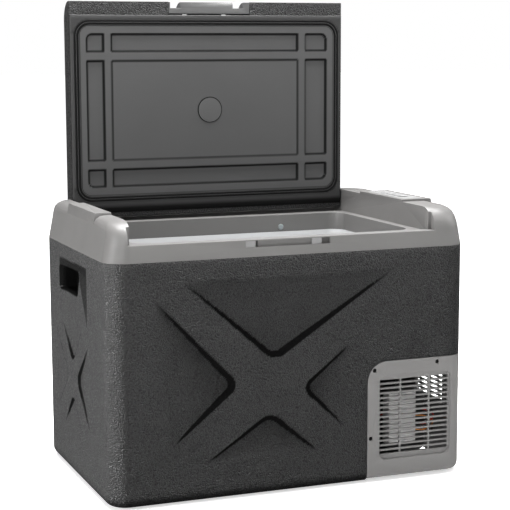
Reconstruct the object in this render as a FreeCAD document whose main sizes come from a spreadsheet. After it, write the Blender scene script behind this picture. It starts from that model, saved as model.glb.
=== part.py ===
# Portable compressor cooler with a hinged lid, modelled with its lid standing open.
# Frame: X to the right along the front, Y to the back, Z up; the origin is the base centre on the ground.
import FreeCAD, Part
import math
import os
import Sketcher

doc = FreeCAD.newDocument("CompressorCooler")
sheet = doc.addObject("Spreadsheet::Sheet", "size")
V = FreeCAD.Vector

# ---------------------------------------------------------------- driving dimensions (mm)
DIMENSIONS = {
    # cabinet outside
    "width": 690, "depth": 442, "corner": 40, "ground_gap": 3, "seam": 432, "base_round": 16,
    "shell_wall": 3.5, "shoulder_top": 503, "plate_top": 507, "side_draft": 14, "nose_round": 38,
    "shoulder_round": 20, "plate_front": -100, "plate_rear": 85, "hollow_top": 490,
    # lid bay between the shoulders, and the rim that the lid closes on
    "bay_left": -301, "bay_right": 269, "rim": 462, "seat": 459.5, "crest_back": -196,
    "open_left": -283, "open_right": 251, "open_front": -176, "open_rear": 141, "open_corner": 30,
    "lamp_x": 120, "lamp_z": 435.5, "skirt_low": 426, "skirt_wall": 3, "trough_front": 170, "trough_rear": 206, "trough_low": 452, "rear_lip": 473,
    # lid hinge, and the lid as it stands open
    "hinge_depth": 188.25, "hinge_height": 475.75, "hinge_pin": 4, "lid_gap": 1.5,
    "lid_inner": 177, "lid_outer": 215, "lid_low": 468, "lid_high": 882, "lid_round": 36,
    "lid_wall": 3.5, "panel_face": 173.5, "panel_low": 476, "panel_high": 856.5,
    "pocket_depth": 4, "pocket_round": 13,
    "gasket_face": 172.3, "gasket_width": 10.6, "gasket_low": 498, "gasket_high": 848, "gasket_corner": 32,
    # latch bar across the lid's front lip
    "latch_left": -100, "latch_right": 68, "latch_low": 859.5, "pivot_depth": 206.5, "pivot_height": 862.3,
    "barrel": 6.5, "latch_pin": 2.5, "running": 0.06,
    # machine bay, liner and insulation
    "machine_left": 141, "machine_top": 227, "liner_floor": 45, "liner_step": 260, "step_left": 118,
    "liner_wall": 3, "cover_rear": 120, "cover_wall": 4, "cover_gap": 1, "cover_round": 38,
    # louvres of the vent cover
    "louvre_left": 165, "louvre_right": 313, "louvre_low": 41, "louvre_high": 199, "louvre_recess": 5,
    "slot_first": 51, "slot_pitch": 8.9, "slot_height": 5.6, "slat_depth": 5,
    # carry handles
    "grip_front": -5, "grip_rear": 105, "grip_low": 345, "grip_high": 390, "grip_depth": 35,
    "grip_wall": 2.5, "scoop_depth": 8,
    # fan
    "fan_x": 240, "fan_z": 110, "fan_radius": 58, "fan_front": 122, "fan_rear": 140, "hub_radius": 20,
}
for row, (alias, value) in enumerate(DIMENSIONS.items(), start=1):
    sheet.set("A%d" % row, alias)
    sheet.set("B%d" % row, str(value))
    sheet.setAlias("B%d" % row, alias)
doc.recompute()


# ---------------------------------------------------------------- helpers
def dim(expression):
    """The expression with each driving dimension's name led back to the sheet."""
    words = sorted(DIMENSIONS, key=len, reverse=True)
    out, word = "", ""
    for letter in str(expression) + " ":
        if letter.isalnum() or letter in "_.":
            word += letter
            continue
        out += ("size." + word if word in words else word) + letter
        word = ""
    return out.strip()


def value(expression):
    """The number that an expression of driving dimensions comes to."""
    return float(sheet.evalExpression(dim(expression)))


def bind(obj, prop, expression):
    obj.setExpression(prop, dim(expression))


def place(obj, point):
    """Bind an object's position to three expressions."""
    for axis, expression in zip("xyz", point):
        bind(obj, "Placement.Base." + axis, expression)


def box(name, x, y, z):
    """A plain block; x, y and z are each a low and a high expression."""
    block = doc.addObject("Part::Box", name)
    for prop, (low, high) in zip(("Length", "Width", "Height"), (x, y, z)):
        bind(block, prop, "(%s) - (%s)" % (high, low))
    place(block, (x[0], y[0], z[0]))
    return block


TURNS = {"x": FreeCAD.Rotation(V(0, 1, 0), 90), "y": FreeCAD.Rotation(V(1, 0, 0), -90), "z": FreeCAD.Rotation()}


def rod(name, axis, start, radius, length, cone=None):
    """A round bar, or a cone to the second radius, from its start point along +X, +Y or +Z."""
    bar = doc.addObject("Part::Cone" if cone else "Part::Cylinder", name)
    bar.Placement = FreeCAD.Placement(V(0, 0, 0), TURNS[axis])
    bind(bar, "Radius1" if cone else "Radius", radius)
    if cone:
        bind(bar, "Radius2", cone)
    bind(bar, "Height", length)
    place(bar, start)
    return bar


def ball(name, centre, radius):
    sphere = doc.addObject("Part::Sphere", name)
    bind(sphere, "Radius", radius)
    place(sphere, centre)
    return sphere


def along(edge, direction):
    """True for a straight edge that runs along the given unit vector."""
    tangent = edge.tangentAt(edge.FirstParameter)
    return edge.Curve.TypeId == "Part::GeomLine" and abs(tangent.dot(direction)) > 0.999


def at_level(edge, axis, level):
    """True for an edge that lies wholly in the plane at this level of the given axis."""
    spread = edge.BoundBox
    low, high = getattr(spread, axis + "Min"), getattr(spread, axis + "Max")
    return abs(low - level) < 0.01 and abs(high - level) < 0.01


def round_edges(body, base, radius, pick):
    """A PartDesign fillet on the edges of base that pick accepts; its radius is an expression."""
    doc.recompute()
    names = ["Edge%d" % number for number, edge in enumerate(base.Shape.Edges, start=1) if pick(edge)]
    fillet = body.newObject("PartDesign::Fillet", body.Name + "Round")
    fillet.Base = (base, names)
    bind(fillet, "Radius", radius)
    body.Tip = fillet
    return fillet


def rounded_box(name, x, y, z, radius, axis="z", base_radius=None, pick=None):
    """A block whose edges along one axis are rounded, and its bottom edges too when asked."""
    body = doc.addObject("PartDesign::Body", name)
    block = body.newObject("PartDesign::AdditiveBox", name + "Block")
    for prop, (low, high) in zip(("Length", "Width", "Height"), (x, y, z)):
        bind(block, prop, "(%s) - (%s)" % (high, low))
    place(block, (x[0], y[0], z[0]))
    direction = {"x": V(1, 0, 0), "y": V(0, 1, 0), "z": V(0, 0, 1)}[axis]
    last = round_edges(body, block, radius,
                       lambda edge: along(edge, direction) and (pick is None or pick(edge.CenterOfMass)))
    if base_radius:
        bottom = value(z[0])
        round_edges(body, last, base_radius, lambda edge: at_level(edge, "Z", bottom))
    return body


PLANES = {"x": "YZ_Plane", "y": "XZ_Plane", "z": "XY_Plane"}


def prism(name, axis, outline, low, high, rounds=()):
    """An outline of expression pairs carried along an axis from low to high.

    The pairs are (Y, Z) along x, (X, Z) along y and (X, Y) along z; rounds lists (corner index, radius)."""
    body = doc.addObject("PartDesign::Body", name)
    sketch = body.newObject("Sketcher::SketchObject", name + "Outline")
    plane = [datum for datum in body.Origin.OriginFeatures if datum.Role == PLANES[axis]][0]
    sketch.AttachmentSupport = [(plane, "")]
    sketch.MapMode = "FlatFace"
    bind(sketch, "AttachmentOffset.Base.z", "-(%s)" % high if axis == "y" else low)
    corners = [V(value(u), value(v), 0) for u, v in outline]
    count = len(corners)
    for index in range(count):
        sketch.addGeometry(Part.LineSegment(corners[index], corners[(index + 1) % count]), False)
    for index in range(count):
        sketch.addConstraint(Sketcher.Constraint("Coincident", index, 2, (index + 1) % count, 1))
    for index, pair in enumerate(outline):
        for kind, expression, start in zip(("DistanceX", "DistanceY"), pair, corners[index]):
            number = sketch.addConstraint(Sketcher.Constraint(kind, -1, 1, index, 1, start))
            bind(sketch, "Constraints[%d]" % number, expression)
    pad = body.newObject("PartDesign::Pad", name + "Pad")
    pad.Profile = sketch
    bind(pad, "Length", "(%s) - (%s)" % (high, low))
    last = pad
    direction = {"x": V(1, 0, 0), "y": V(0, 1, 0), "z": V(0, 0, 1)}[axis]
    for index, radius in rounds:
        corner = corners[index]

        def near(edge):
            centre = edge.CenterOfMass
            spot = {"x": (centre.y, centre.z), "y": (centre.x, centre.z), "z": (centre.x, centre.y)}[axis]
            return along(edge, direction) and math.hypot(spot[0] - corner.x, spot[1] - corner.y) < 0.01
        last = round_edges(body, last, radius, near)
    return body


def fuse(name, *shapes):
    joined = doc.addObject("Part::MultiFuse", name)
    joined.Shapes = list(shapes)
    return joined


def common(name, *shapes):
    overlap = doc.addObject("Part::MultiCommon", name)
    overlap.Shapes = list(shapes)
    return overlap


def cut(name, base, *tools):
    """The base with the tools taken away."""
    result = doc.addObject("Part::Cut", name)
    result.Base = base
    result.Tool = tools[0] if len(tools) == 1 else fuse(name + "Tools", *tools)
    return result


def group(name, *shapes):
    """Separate like pieces kept together as one sub-part."""
    gathered = doc.addObject("Part::Compound", name)
    gathered.Links = list(shapes)
    return gathered


nodes = {}


def sub_part(obj, label):
    """Give a finished piece its label and list it for export."""
    obj.Label = label
    nodes[label] = obj
    return obj


def pipe(name, radius, points):
    """Straight round runs between points, with a ball at each bend."""
    pieces = []
    for index, (start, end) in enumerate(zip(points, points[1:])):
        first = V(*[value(e) for e in start])
        last = V(*[value(e) for e in end])
        run = doc.addObject("Part::Cylinder", name + "Run")
        bind(run, "Radius", radius)
        run.Height = (last - first).Length
        run.Placement = FreeCAD.Placement(first, FreeCAD.Rotation(V(0, 0, 1), last - first))
        pieces.append(run)
        if index:
            pieces.append(ball(name + "Bend", start, radius))
    return fuse(name, *pieces)


HALF_WIDTH = ("-width / 2", "width / 2")
HALF_DEPTH = ("-depth / 2", "depth / 2")


# ---------------------------------------------------------------- outer shell
# The four moulded walls and floor. Four ramps sink into the front from the ends of a large X
# towards its crossing; each is a wedge with one point below the surface.
RAMP_DEPTH = 9
FRONT_RAMPS = {
    "RampLeft": ((-264, 366), (-110, 206), (-234, 104), (1, 0)),
    "RampTop": ((-209, 394), (-41, 246), (191, 395), (0, -1)),
    "RampRight": ((105, 263), (13, 191), (94, 114), (-1, 0)),
    "RampBottom": ((-172, 69), (-48, 150), (44, 71), (0, 1)),
}


def ramp(name, first, tip, second, towards, extra=0.0):
    """A wedge with four corners sunk in the front wall; extra moves it in by a wall's thickness."""
    front = -value("depth") / 2
    reach = RAMP_DEPTH + extra
    outside = front - 1.0
    low = V(tip[0] - towards[0] * (RAMP_DEPTH - extra), front + reach, tip[1] - towards[1] * (RAMP_DEPTH - extra))
    grow = extra
    corners = [V(first[0], outside, first[1]), V(second[0], outside, second[1]),
               V(tip[0] + towards[0] * grow, outside, tip[1] + towards[1] * grow), low]
    faces = [Part.Face(Part.makePolygon([corners[i], corners[j], corners[k], corners[i]]))
             for i, j, k in ((0, 1, 2), (0, 1, 3), (1, 2, 3), (0, 2, 3))]
    wedge = doc.addObject("Part::Feature", name)
    solid = Part.makeSolid(Part.makeShell(faces))
    if solid.Volume < 0:
        solid.reverse()
    wedge.Shape = solid
    return wedge


shell_blank = rounded_box("ShellBlank", HALF_WIDTH, HALF_DEPTH, ("ground_gap", "seam"), "corner",
                          base_radius="base_round")
shell_outside = cut("ShellOutside", shell_blank, *[ramp(n, *spots) for n, spots in FRONT_RAMPS.items()])
shell_core = rounded_box("ShellCore", ("-width / 2 + shell_wall", "width / 2 - shell_wall"),
                         ("-depth / 2 + shell_wall", "depth / 2 - shell_wall"),
                         ("ground_gap + shell_wall", "seam + 1"), "corner - shell_wall",
                         base_radius="base_round - shell_wall")
scoop_backs = [box("ScoopBack", x, ("grip_front - 37", "grip_rear + 25"), ("grip_low - 44", "grip_high + 20"))
               for x in (("-width / 2", "-width / 2 + scoop_depth + shell_wall"),
                         ("width / 2 - scoop_depth - shell_wall", "width / 2"))]
shell_inside = cut("ShellInside", shell_core, *scoop_backs,
                   *[ramp(n + "Inner", *spots, extra=value("shell_wall")) for n, spots in FRONT_RAMPS.items()])
cover_bay = fuse("CoverBay",
                 rounded_box("CoverBayFront", ("machine_left - 0.5", "width / 2 + 1"),
                             ("-depth / 2 - 1", "-depth / 2 + 7"), ("0", "machine_top"),
                             "cover_round + cover_gap", axis="y", pick=lambda p: p.x < 150 and p.z > 200),
                 box("CoverBaySide", ("width / 2 - 7", "width / 2 + 1"),
                     ("-depth / 2 - 1", "cover_rear + cover_gap"), ("0", "machine_top")),
                 box("CoverBayCorner", ("width / 2 - 45", "width / 2 + 1"),
                     ("-depth / 2 - 1", "-depth / 2 + 41"), ("0", "machine_top")))


def grip_block(name, side, depth_from, depth_to, margin):
    """A block across a side wall at the carry handle, grown by a margin all round."""
    if side < 0:
        x = ("-width / 2 + %s" % depth_from, "-width / 2 + %s" % depth_to)
    else:
        x = ("width / 2 - %s" % depth_to, "width / 2 - %s" % depth_from)
    return rounded_box(name, x, ("grip_front - %s" % margin, "grip_rear + %s" % margin),
                       ("grip_low - %s" % margin, "grip_high + %s" % margin), "8", axis="x")


def scoop(name, side):
    """A recess round the grip hole, deep under its top edge and running out to nothing below it."""
    wall = "width / 2 * %d" % side
    return prism(name, "y", ((wall + " + %d" % side, "grip_high + 17"), (wall + " + %d" % side, "grip_low - 42"),
                             (wall, "grip_low - 40"), (wall + " - scoop_depth * %d" % side, "grip_high + 4"),
                             (wall + " - scoop_depth * 0.6 * %d" % side, "grip_high + 15")),
                 "grip_front - 34", "grip_rear + 22")


outer_shell = cut("OuterShell", shell_outside, shell_inside, cover_bay,
                  scoop("ScoopLeft", -1), scoop("ScoopRight", 1),
                  grip_block("GripHoleLeft", -1, "(-1)", "14", "0"),
                  grip_block("GripHoleRight", 1, "(-1)", "14", "0"),
                  rod("DcHole", "x", ("width / 2 - 8", "165", "130"), "13", "10"),
                  box("AcHole", ("width / 2 - 8", "width / 2 + 1"), ("151", "179"), ("160", "182")))
sub_part(outer_shell, "outer_shell")

# A black cup behind each grip hole, with one rib set back from its mouth.
for side, label in ((-1, "handle_cup_left"), (1, "handle_cup_right")):
    cup_outer = grip_block(label + "Outer", side, "(scoop_depth + shell_wall)", "grip_depth", "grip_wall")
    cup_inner = grip_block(label + "Inner", side, "0", "(grip_depth - grip_wall)", "0")
    cup_rib = box(label + "Rib", ("-width / 2 + 19", "-width / 2 + grip_depth - 1") if side < 0 else
                  ("width / 2 - grip_depth + 1", "width / 2 - 19"), ("48", "52"),
                  ("grip_low - 1", "grip_high + 1"))
    sub_part(fuse(label + "Solid", cut(label + "Cup", cup_outer, cup_inner), cup_rib), label)

# ---------------------------------------------------------------- top frame
# One moulding: two shoulders, the rim that carries the gasket seat, and a skirt down to the liner.
def form_section(height):
    """The frame's outline at a height: the front follows the nose arc, the sides lean in, then all round over."""
    nose_start = value("shoulder_top - nose_round")
    round_start = value("shoulder_top - shoulder_round")

    def arc(start, radius):
        rise = max(0.0, height - start)
        return radius - math.sqrt(max(0.0, radius * radius - rise * rise))
    lean = value("side_draft") * (min(height, round_start) - value("seam")) / value("shoulder_top - seam")
    over = arc(round_start, value("shoulder_round"))
    right = value("width / 2") - lean - over
    rear = value("depth / 2") - over
    front = -value("depth / 2") + arc(nose_start, value("nose_round"))
    bend = value("corner")
    slant = bend * (1 - math.sqrt(0.5))
    edges = []
    spots = ((right, front, -1), (right, rear, 1), (-right, rear, 1), (-right, front, -1))
    turns = []
    for x, y, side in spots:
        inward_x = -math.copysign(1, x)
        along_y = V(x, y - side * bend, height)
        middle = V(x + inward_x * slant, y - side * slant, height)
        along_x = V(x + inward_x * bend, y, height)
        turns.append((along_x, middle, along_y) if x * side < 0 else (along_y, middle, along_x))
    for index, (first, middle, last) in enumerate(turns):
        edges.append(Part.Arc(first, middle, last).toShape())
        edges.append(Part.makeLine(last, turns[(index + 1) % 4][0]))
    return Part.Wire(edges)


# Heights follow equal steps round the nose arc, so that the sections crowd where it turns over.
nose_steps = [value("shoulder_top - nose_round") + value("nose_round") * math.sin(math.radians(15 * step))
              for step in range(7)]
frame_blank = doc.addObject("Part::Feature", "FrameBlank")
frame_blank.Shape = Part.makeLoft([form_section(height) for height in [value("seam")] + nose_steps], True, True)
plates = []
for name, inner, side in (("PlateLeft", "bay_left", "-1"), ("PlateRight", "bay_right", "1")):
    plates.append(prism(name, "y", ((inner, "470"), ("%s * (width / 2 - 7.5)" % side, "470"),
                                    ("%s * (width / 2 - side_draft - 0.8)" % side, "plate_top"),
                                    (inner, "plate_top")), "plate_front", "plate_rear"))
frame_solid = fuse("FrameSolid", frame_blank, *plates)
skirt_block = rounded_box("SkirtBlock", ("open_left - skirt_wall", "open_right + skirt_wall"),
                          ("open_front - skirt_wall", "open_rear + skirt_wall"), ("skirt_low", "seat - 2"),
                          "open_corner + skirt_wall")
frame_under = cut("FrameUnder",
                  rounded_box("FrameUnderBlank", ("-width / 2 + 5", "width / 2 - 5"),
                              ("-depth / 2 + 4", "depth / 2 - 4"), ("seam - 1", "444"), "corner - 4"),
                  rounded_box("SkirtKeep", ("open_left - skirt_wall", "open_right + skirt_wall"),
                              ("open_front - skirt_wall", "open_rear + skirt_wall"), ("seam - 2", "445"),
                              "open_corner + skirt_wall"))
BAY = ("bay_left", "bay_right")
HOLLOW_DEPTH = ("-depth / 2 + 62", "depth / 2 - 15")
frame_cuts = [
    box("LidBay", BAY, ("-depth / 2 - 1", "depth / 2 - 4"), ("rim", "plate_top + 5")),
    box("LidBayRear", BAY, ("depth / 2 - 5", "depth / 2 + 1"), ("rear_lip", "plate_top + 5")),
    box("GasketSeat", BAY, ("crest_back", "187"), ("seat", "rim + 1")),
    box("HingeTrough", BAY, ("trough_front", "trough_rear"), ("trough_low", "rim + 1")),
    rounded_box("FrameOpening", ("open_left", "open_right"), ("open_front", "open_rear"),
                ("skirt_low - 1", "rim + 1"), "open_corner"),
    frame_under,
    box("HollowLeft", ("-width / 2 + 20", "bay_left - 4"), HOLLOW_DEPTH, ("440", "hollow_top")),
    box("HollowRight", ("bay_right + 4", "width / 2 - 20"), HOLLOW_DEPTH, ("440", "hollow_top")),
    box("NotchLeft", ("bay_left - 6", "bay_left + 1"), ("-depth / 2 - 1", "-depth / 2 + 15"), ("rim", "497")),
    box("NotchRight", ("bay_right - 1", "bay_right + 6"), ("-depth / 2 - 1", "-depth / 2 + 15"), ("rim", "497")),
    box("LatchRecessLeft", ("-95", "-71"), ("-depth / 2 - 1", "-depth / 2 + 8"), ("449", "460")),
    box("LatchRecessRight", ("31", "66"), ("-depth / 2 - 1", "-depth / 2 + 8"), ("449", "460")),
    box("FingerRecess", ("-72", "32"), ("-depth / 2 - 1", "-depth / 2 + 4"), ("449", "460")),
    box("PanelSeat", ("280", "320"), ("-87", "72"), ("505.5", "plate_top + 1")),
    box("PanelWindow", ("284", "316"), ("-83", "68"), ("490", "plate_top + 1")),
    rod("LampHole", "y", ("lamp_x", "open_rear - 1", "lamp_z"), "6", "14"),
]
bosses = []
for name, start, end in (("BossLeft", "-width / 2 + 20", "bay_left"), ("BossRight", "bay_right", "width / 2 - 20")):
    bosses.append(rod(name, "x", (start, "hinge_depth", "hinge_height"), "10", "(%s) - (%s)" % (end, start)))
pin_holes = [rod("PinHoleLeft", "x", ("bay_left - 14", "hinge_depth", "hinge_height"), "hinge_pin", "15"),
             rod("PinHoleRight", "x", ("bay_right - 1", "hinge_depth", "hinge_height"), "hinge_pin", "15")]
frame_skirted = fuse("FrameSkirted", frame_solid,
                     cut("SkirtBelow", skirt_block,
                         box("SkirtTrim", ("-width", "width"), ("-depth", "depth"), ("seam + 2", "rim"))))
frame_hollow = cut("FrameHollow", frame_skirted, *frame_cuts)
sub_part(cut("TopFrame", fuse("FrameBossed", frame_hollow, *bosses), *pin_holes), "top_frame")

sub_part(group("HingePins",
               rod("PinLeft", "x", ("bay_left - 14", "hinge_depth", "hinge_height"), "hinge_pin", "26"),
               rod("PinRight", "x", ("bay_right - 12", "hinge_depth", "hinge_height"), "hinge_pin", "26")),
         "hinge_pins")
# Two pale blocks in the recess under the latch bar, which its notches drop over.
sub_part(group("Keepers",
               box("KeeperLeft", ("-94.5", "-76"), ("-depth / 2 + 1", "-depth / 2 + 8"), ("449", "460")),
               box("KeeperRight", ("31", "50"), ("-depth / 2 + 1", "-depth / 2 + 8"), ("449", "460"))),
         "latch_keepers")

# ---------------------------------------------------------------- liner, evaporator and insulation
LINER_X = ("open_left - liner_wall", "open_right + liner_wall")
LINER_Y = ("open_front - liner_wall", "open_rear + liner_wall")
OPEN_Y = ("open_front", "open_rear")
liner_mass = cut("LinerMass",
                 rounded_box("LinerBlank", LINER_X, LINER_Y, ("liner_floor - liner_wall", "skirt_low"),
                             "open_corner + liner_wall"),
                 box("LinerStep", ("step_left + liner_wall", "open_right + 10"), ("-depth", "depth"),
                     ("0", "liner_step - liner_wall")))
liner_room = fuse("LinerRoom",
                  rounded_box("DeepRoom", ("open_left", "step_left"), OPEN_Y, ("liner_floor", "skirt_low + 1"),
                              "open_corner", pick=lambda p: p.x < 0),
                  rounded_box("HighRoom", ("open_left", "open_right"), OPEN_Y, ("liner_step", "skirt_low + 1"),
                              "open_corner"))
sub_part(cut("InnerLiner", liner_mass, liner_room), "inner_liner")


def liner_ring(name, near, far, low, high):
    """A band round the liner's outside between two offsets from its wall."""
    rings = []
    for suffix, offset, over in (("Outer", far, "0"), ("Inner", near, "1")):
        rings.append(rounded_box(name + suffix,
                                 ("open_left - liner_wall - %s" % offset, "open_right + liner_wall + %s" % offset),
                                 ("open_front - liner_wall - %s" % offset, "open_rear + liner_wall + %s" % offset),
                                 ("%s - %s" % (low, over), "%s + %s" % (high, over)),
                                 "open_corner + liner_wall + %s" % offset))
    return cut(name, *rings)


sub_part(liner_ring("EvaporatorPlate", "0", "1.2", "280", "400"), "evaporator_plate")
coil_turns = [liner_ring("CoilTurn%d" % turn, "1.2", "7.2", str(290 + 26 * turn), str(296 + 26 * turn))
              for turn in range(4)]
coil_riser = box("CoilRiser", ("-20", "-14"), ("open_rear + liner_wall + 1.2", "open_rear + liner_wall + 7.2"),
                 ("290", "374"))
sub_part(fuse("EvaporatorTube", coil_riser, *coil_turns), "evaporator_tube")
sub_part(rod("SensorRod", "x", ("20", "open_rear + liner_wall + 5", "386"), "3", "40"), "temperature_sensor")

foam_blank = rounded_box("FoamBlank", ("-width / 2 + shell_wall + 10", "width / 2 - shell_wall - 10"),
                         ("-depth / 2 + shell_wall + 10", "depth / 2 - shell_wall - 1"),
                         ("ground_gap + shell_wall", "440"), "corner - 12",
                         base_radius="base_round - shell_wall")
foam_cuts = [
    box("FoamRoom", LINER_X, LINER_Y, ("liner_floor - liner_wall", "450")),
    rounded_box("FoamCoilRoom", ("open_left - liner_wall - 8", "open_right + liner_wall + 8"),
                ("open_front - liner_wall - 8", "open_rear + liner_wall + 8.2"), ("279", "401"), "40"),
    box("FoamMachineRoom", ("machine_left - 4", "width"), ("-depth", "depth"), ("0", "machine_top + 4")),
    grip_block("FoamGripLeft", -1, "0", "(grip_depth + 1)", "(grip_wall + 1)"),
    grip_block("FoamGripRight", 1, "0", "(grip_depth + 1)", "(grip_wall + 1)"),
    rod("FoamLamp", "y", ("lamp_x", "open_rear", "lamp_z"), "8", "16"),
    box("FoamWiring", ("312", "324"), ("114", "126"), ("machine_top", "450")),
]
step_fill = box("StepFill", ("step_left + liner_wall", "open_right + liner_wall"), LINER_Y,
                ("machine_top + 4", "liner_step - liner_wall"))
sub_part(fuse("Insulation", cut("FoamHollow", foam_blank, *foam_cuts), step_fill), "insulation_foam")

# ---------------------------------------------------------------- machine bay
# A folded partition keeps the foam out of the bay; a steel tray carries the machinery.
PARTITION_Y = ("-depth / 2 + 17", "depth / 2 - 17")
partition_wall = box("PartitionWall", ("machine_left - 4", "machine_left - 1"), PARTITION_Y,
                     ("ground_gap + shell_wall", "machine_top + 4"))
partition_roof = box("PartitionRoof", ("machine_left - 4", "width / 2 - 14"), PARTITION_Y,
                     ("machine_top + 1", "machine_top + 4"))
wiring_hole = box("WiringHole", ("312", "324"), ("114", "126"), ("machine_top", "machine_top + 5"))
sub_part(cut("PartitionCut", fuse("Partition", partition_wall, partition_roof), wiring_hole),
         "machine_bay_partition")
tray_floor = "ground_gap + shell_wall"
tray_top = "ground_gap + shell_wall + 2"
sub_part(box("MachineTray", ("machine_left", "300"), ("-170", "200"), (tray_floor, tray_top)), "machine_tray")
sub_part(group("Feet", *[rod("Foot", "z", (x, y, "0"), "18", "ground_gap", cone="20")
                         for x in ("-285", "285") for y in ("-165", "165")]), "feet")

can_x, can_y = "262", "-105"
can_body = fuse("CanBody",
                rod("CanWall", "z", (can_x, can_y, "40"), "52", "86"),
                rod("CanShoulder", "z", (can_x, can_y, "126"), "52", "14", cone="40"),
                rod("CanCrown", "z", (can_x, can_y, "140"), "40", "6", cone="22"),
                rod("CanBelly", "z", (can_x, can_y, "28"), "40", "12", cone="52"),
                rod("CanSeam", "z", (can_x, can_y, "84"), "54", "5"),
                box("CanLegs", ("202", "298"), ("-150", "-60"), ("21", "25")))
sub_part(can_body, "compressor")
sub_part(box("TerminalCover", ("186", "206"), ("-125", "-88"), ("60", "110")), "compressor_terminal_cover")
sub_part(group("Grommets", *[cut("Grommet", rod("GrommetBody", "z", (x, y, tray_top), "8", "12.5"),
                                 rod("GrommetBore", "z", (x, y, tray_floor), "3.1", "20"))
                             for x in ("211", "289") for y in ("-141", "-69")]), "compressor_grommets")

module_x, module_y, module_z = ("197", "252"), ("-198", "-174"), ("60", "159")
sub_part(box("ModuleCase", module_x, module_y, module_z), "control_module")
heat_fins = [box("HeatFin", ("%d" % x, "%d" % (x + 2)), ("-174", "-164"), ("64", "155"))
             for x in range(201, 250, 8)]
sub_part(fuse("HeatSink", box("HeatPlate", ("199", "250"), ("-174", "-171"), ("62", "157")), *heat_fins),
         "module_heat_sink")

# Condenser: thin plates on a bent tube, behind the fan.
plates_x = range(164, 296, 6)
sub_part(group("CondenserPlates", *[
    cut("CondenserPlate", box("CondenserSheet", ("%d" % x, "%d" % (x + 1)), ("160", "196"), ("30", "190")),
        *[rod("PlateHole", "x", ("%d" % (x - 1), "178", str(50 + 30 * level)), "4.1", "3") for level in range(5)])
    for x in plates_x]), "condenser_fins")
passes = [rod("TubePass", "x", ("156", "178", str(50 + 30 * level)), "4", "146") for level in range(5)]
returns = [box("TubeReturn", ("298", "304") if level % 2 else ("152", "158"), ("174", "182"),
               (str(46 + 30 * level), str(84 + 30 * level))) for level in range(4)]
sub_part(fuse("CondenserTube", *passes, *returns), "condenser_tube")

shroud_blank = rounded_box("ShroudBlank", ("fan_x - 72", "fan_x + 72"), ("118", "150"),
                           ("fan_z - 72", "fan_z + 72"), "8", axis="y")
shroud_ring = cut("ShroudRing", shroud_blank, rod("ShroudBore", "y", ("fan_x", "117", "fan_z"),
                                                  "fan_radius + 4", "40"))
struts = [box("StrutFlat", ("fan_x - fan_radius - 6", "fan_x + fan_radius + 6"), ("145", "149"),
              ("fan_z - 3", "fan_z + 3")),
          box("StrutUp", ("fan_x - 3", "fan_x + 3"), ("145", "149"),
              ("fan_z - fan_radius - 6", "fan_z + fan_radius + 6")),
          rod("StrutHub", "y", ("fan_x", "144", "fan_z"), "22", "5")]
axle_hole = rod("AxleHole", "y", ("fan_x", "130", "fan_z"), "3", "25")
sub_part(cut("FanShroud", fuse("ShroudSolid", shroud_ring, *struts), axle_hole), "fan_shroud")
blades = []
BLADES = 7
for number in range(BLADES):
    blade = doc.addObject("Part::Box", "FanBlade")
    bind(blade, "Length", "fan_radius - hub_radius + 4")
    blade.Width = 2
    blade.Height = 22
    spin = FreeCAD.Rotation(V(0, 1, 0), 360.0 * number / BLADES)
    pitch = FreeCAD.Rotation(V(1, 0, 0), 52)
    reach = spin.multVec(V(value("hub_radius") - 4, 0, 0) + pitch.multVec(V(0, -1, -11)))
    centre = V(value("fan_x"), value("(fan_front + fan_rear) / 2"), value("fan_z"))
    blade.Placement = FreeCAD.Placement(centre + reach, spin.multiply(pitch))
    blades.append(blade)
hub = rod("FanHub", "y", ("fan_x", "fan_front", "fan_z"), "hub_radius", "fan_rear - fan_front")
axle = rod("FanAxle", "y", ("fan_x", "fan_front", "fan_z"), "3 - running", "148 - fan_front")
sub_part(fuse("FanRotor", hub, axle, *blades), "fan_rotor")

sub_part(fuse("FilterDrier", rod("DrierBody", "z", ("160", "60", "60"), "9", "90"),
              rod("DrierNeck", "z", ("160", "60", "150"), "9", "12", cone="3"),
              rod("DrierTail", "z", ("160", "60", "48"), "3", "12", cone="9")), "filter_drier")
suction = pipe("SuctionPipe", "3", (("262", "-52.9", "120"), ("262", "-20", "120"), ("262", "-20", "205"),
                                    ("300", "40", "205")))
discharge = pipe("DischargePipe", "3", (("294", "-54", "80"), ("318", "-20", "80"), ("318", "60", "60"),
                                        ("318", "152", "60"), ("312", "178", "50"), ("302.5", "178", "50")))
liquid = pipe("LiquidPipe", "2.5", (("160", "60", "162"), ("160", "60", "200"), ("160", "-140", "200")))
sub_part(group("CopperPipes", suction, discharge, liquid), "copper_pipes")
sub_part(pipe("WiringRun", "3.5", (("215", "-186", "159"), ("215", "-186", "214"), ("318", "-60", "214"),
                                   ("318", "120", "214"), ("318", "120", "470"), ("300", "50", "482"))), "wiring_loom")

# Power inlets through the right wall behind the vent cover.
dc_body = rod("DcBody", "x", ("width / 2 - 30", "165", "130"), "12.8", "29")
dc_mouth = rod("DcMouth", "x", ("width / 2 - 20", "165", "130"), "9", "22")
dc_pin = rod("DcPin", "x", ("width / 2 - 21", "165", "130"), "2", "12")
sub_part(fuse("DcInlet", cut("DcSleeve", dc_body, dc_mouth), dc_pin), "dc_inlet")
ac_body = box("AcBody", ("width / 2 - 30", "width / 2 - 1"), ("151.2", "178.8"), ("160.2", "181.8"))
ac_mouth = box("AcMouth", ("width / 2 - 20", "width / 2 + 1"), ("154", "176"), ("163", "179"))
ac_pins = [box("AcPin", ("width / 2 - 21", "width / 2 - 8"), (y, "%s + 2" % y), ("168", "174"))
           for y in ("157", "164", "171")]
sub_part(fuse("AcInlet", cut("AcSleeve", ac_body, ac_mouth), *ac_pins), "ac_inlet")

# ---------------------------------------------------------------- vent cover
# A corner panel over the machine bay with horizontal louvres on the front and the side.


def corner_edge(point):
    """True for the upright edge at the cabinet's front right corner."""
    return point.x > 300 and point.y < 0


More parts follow.
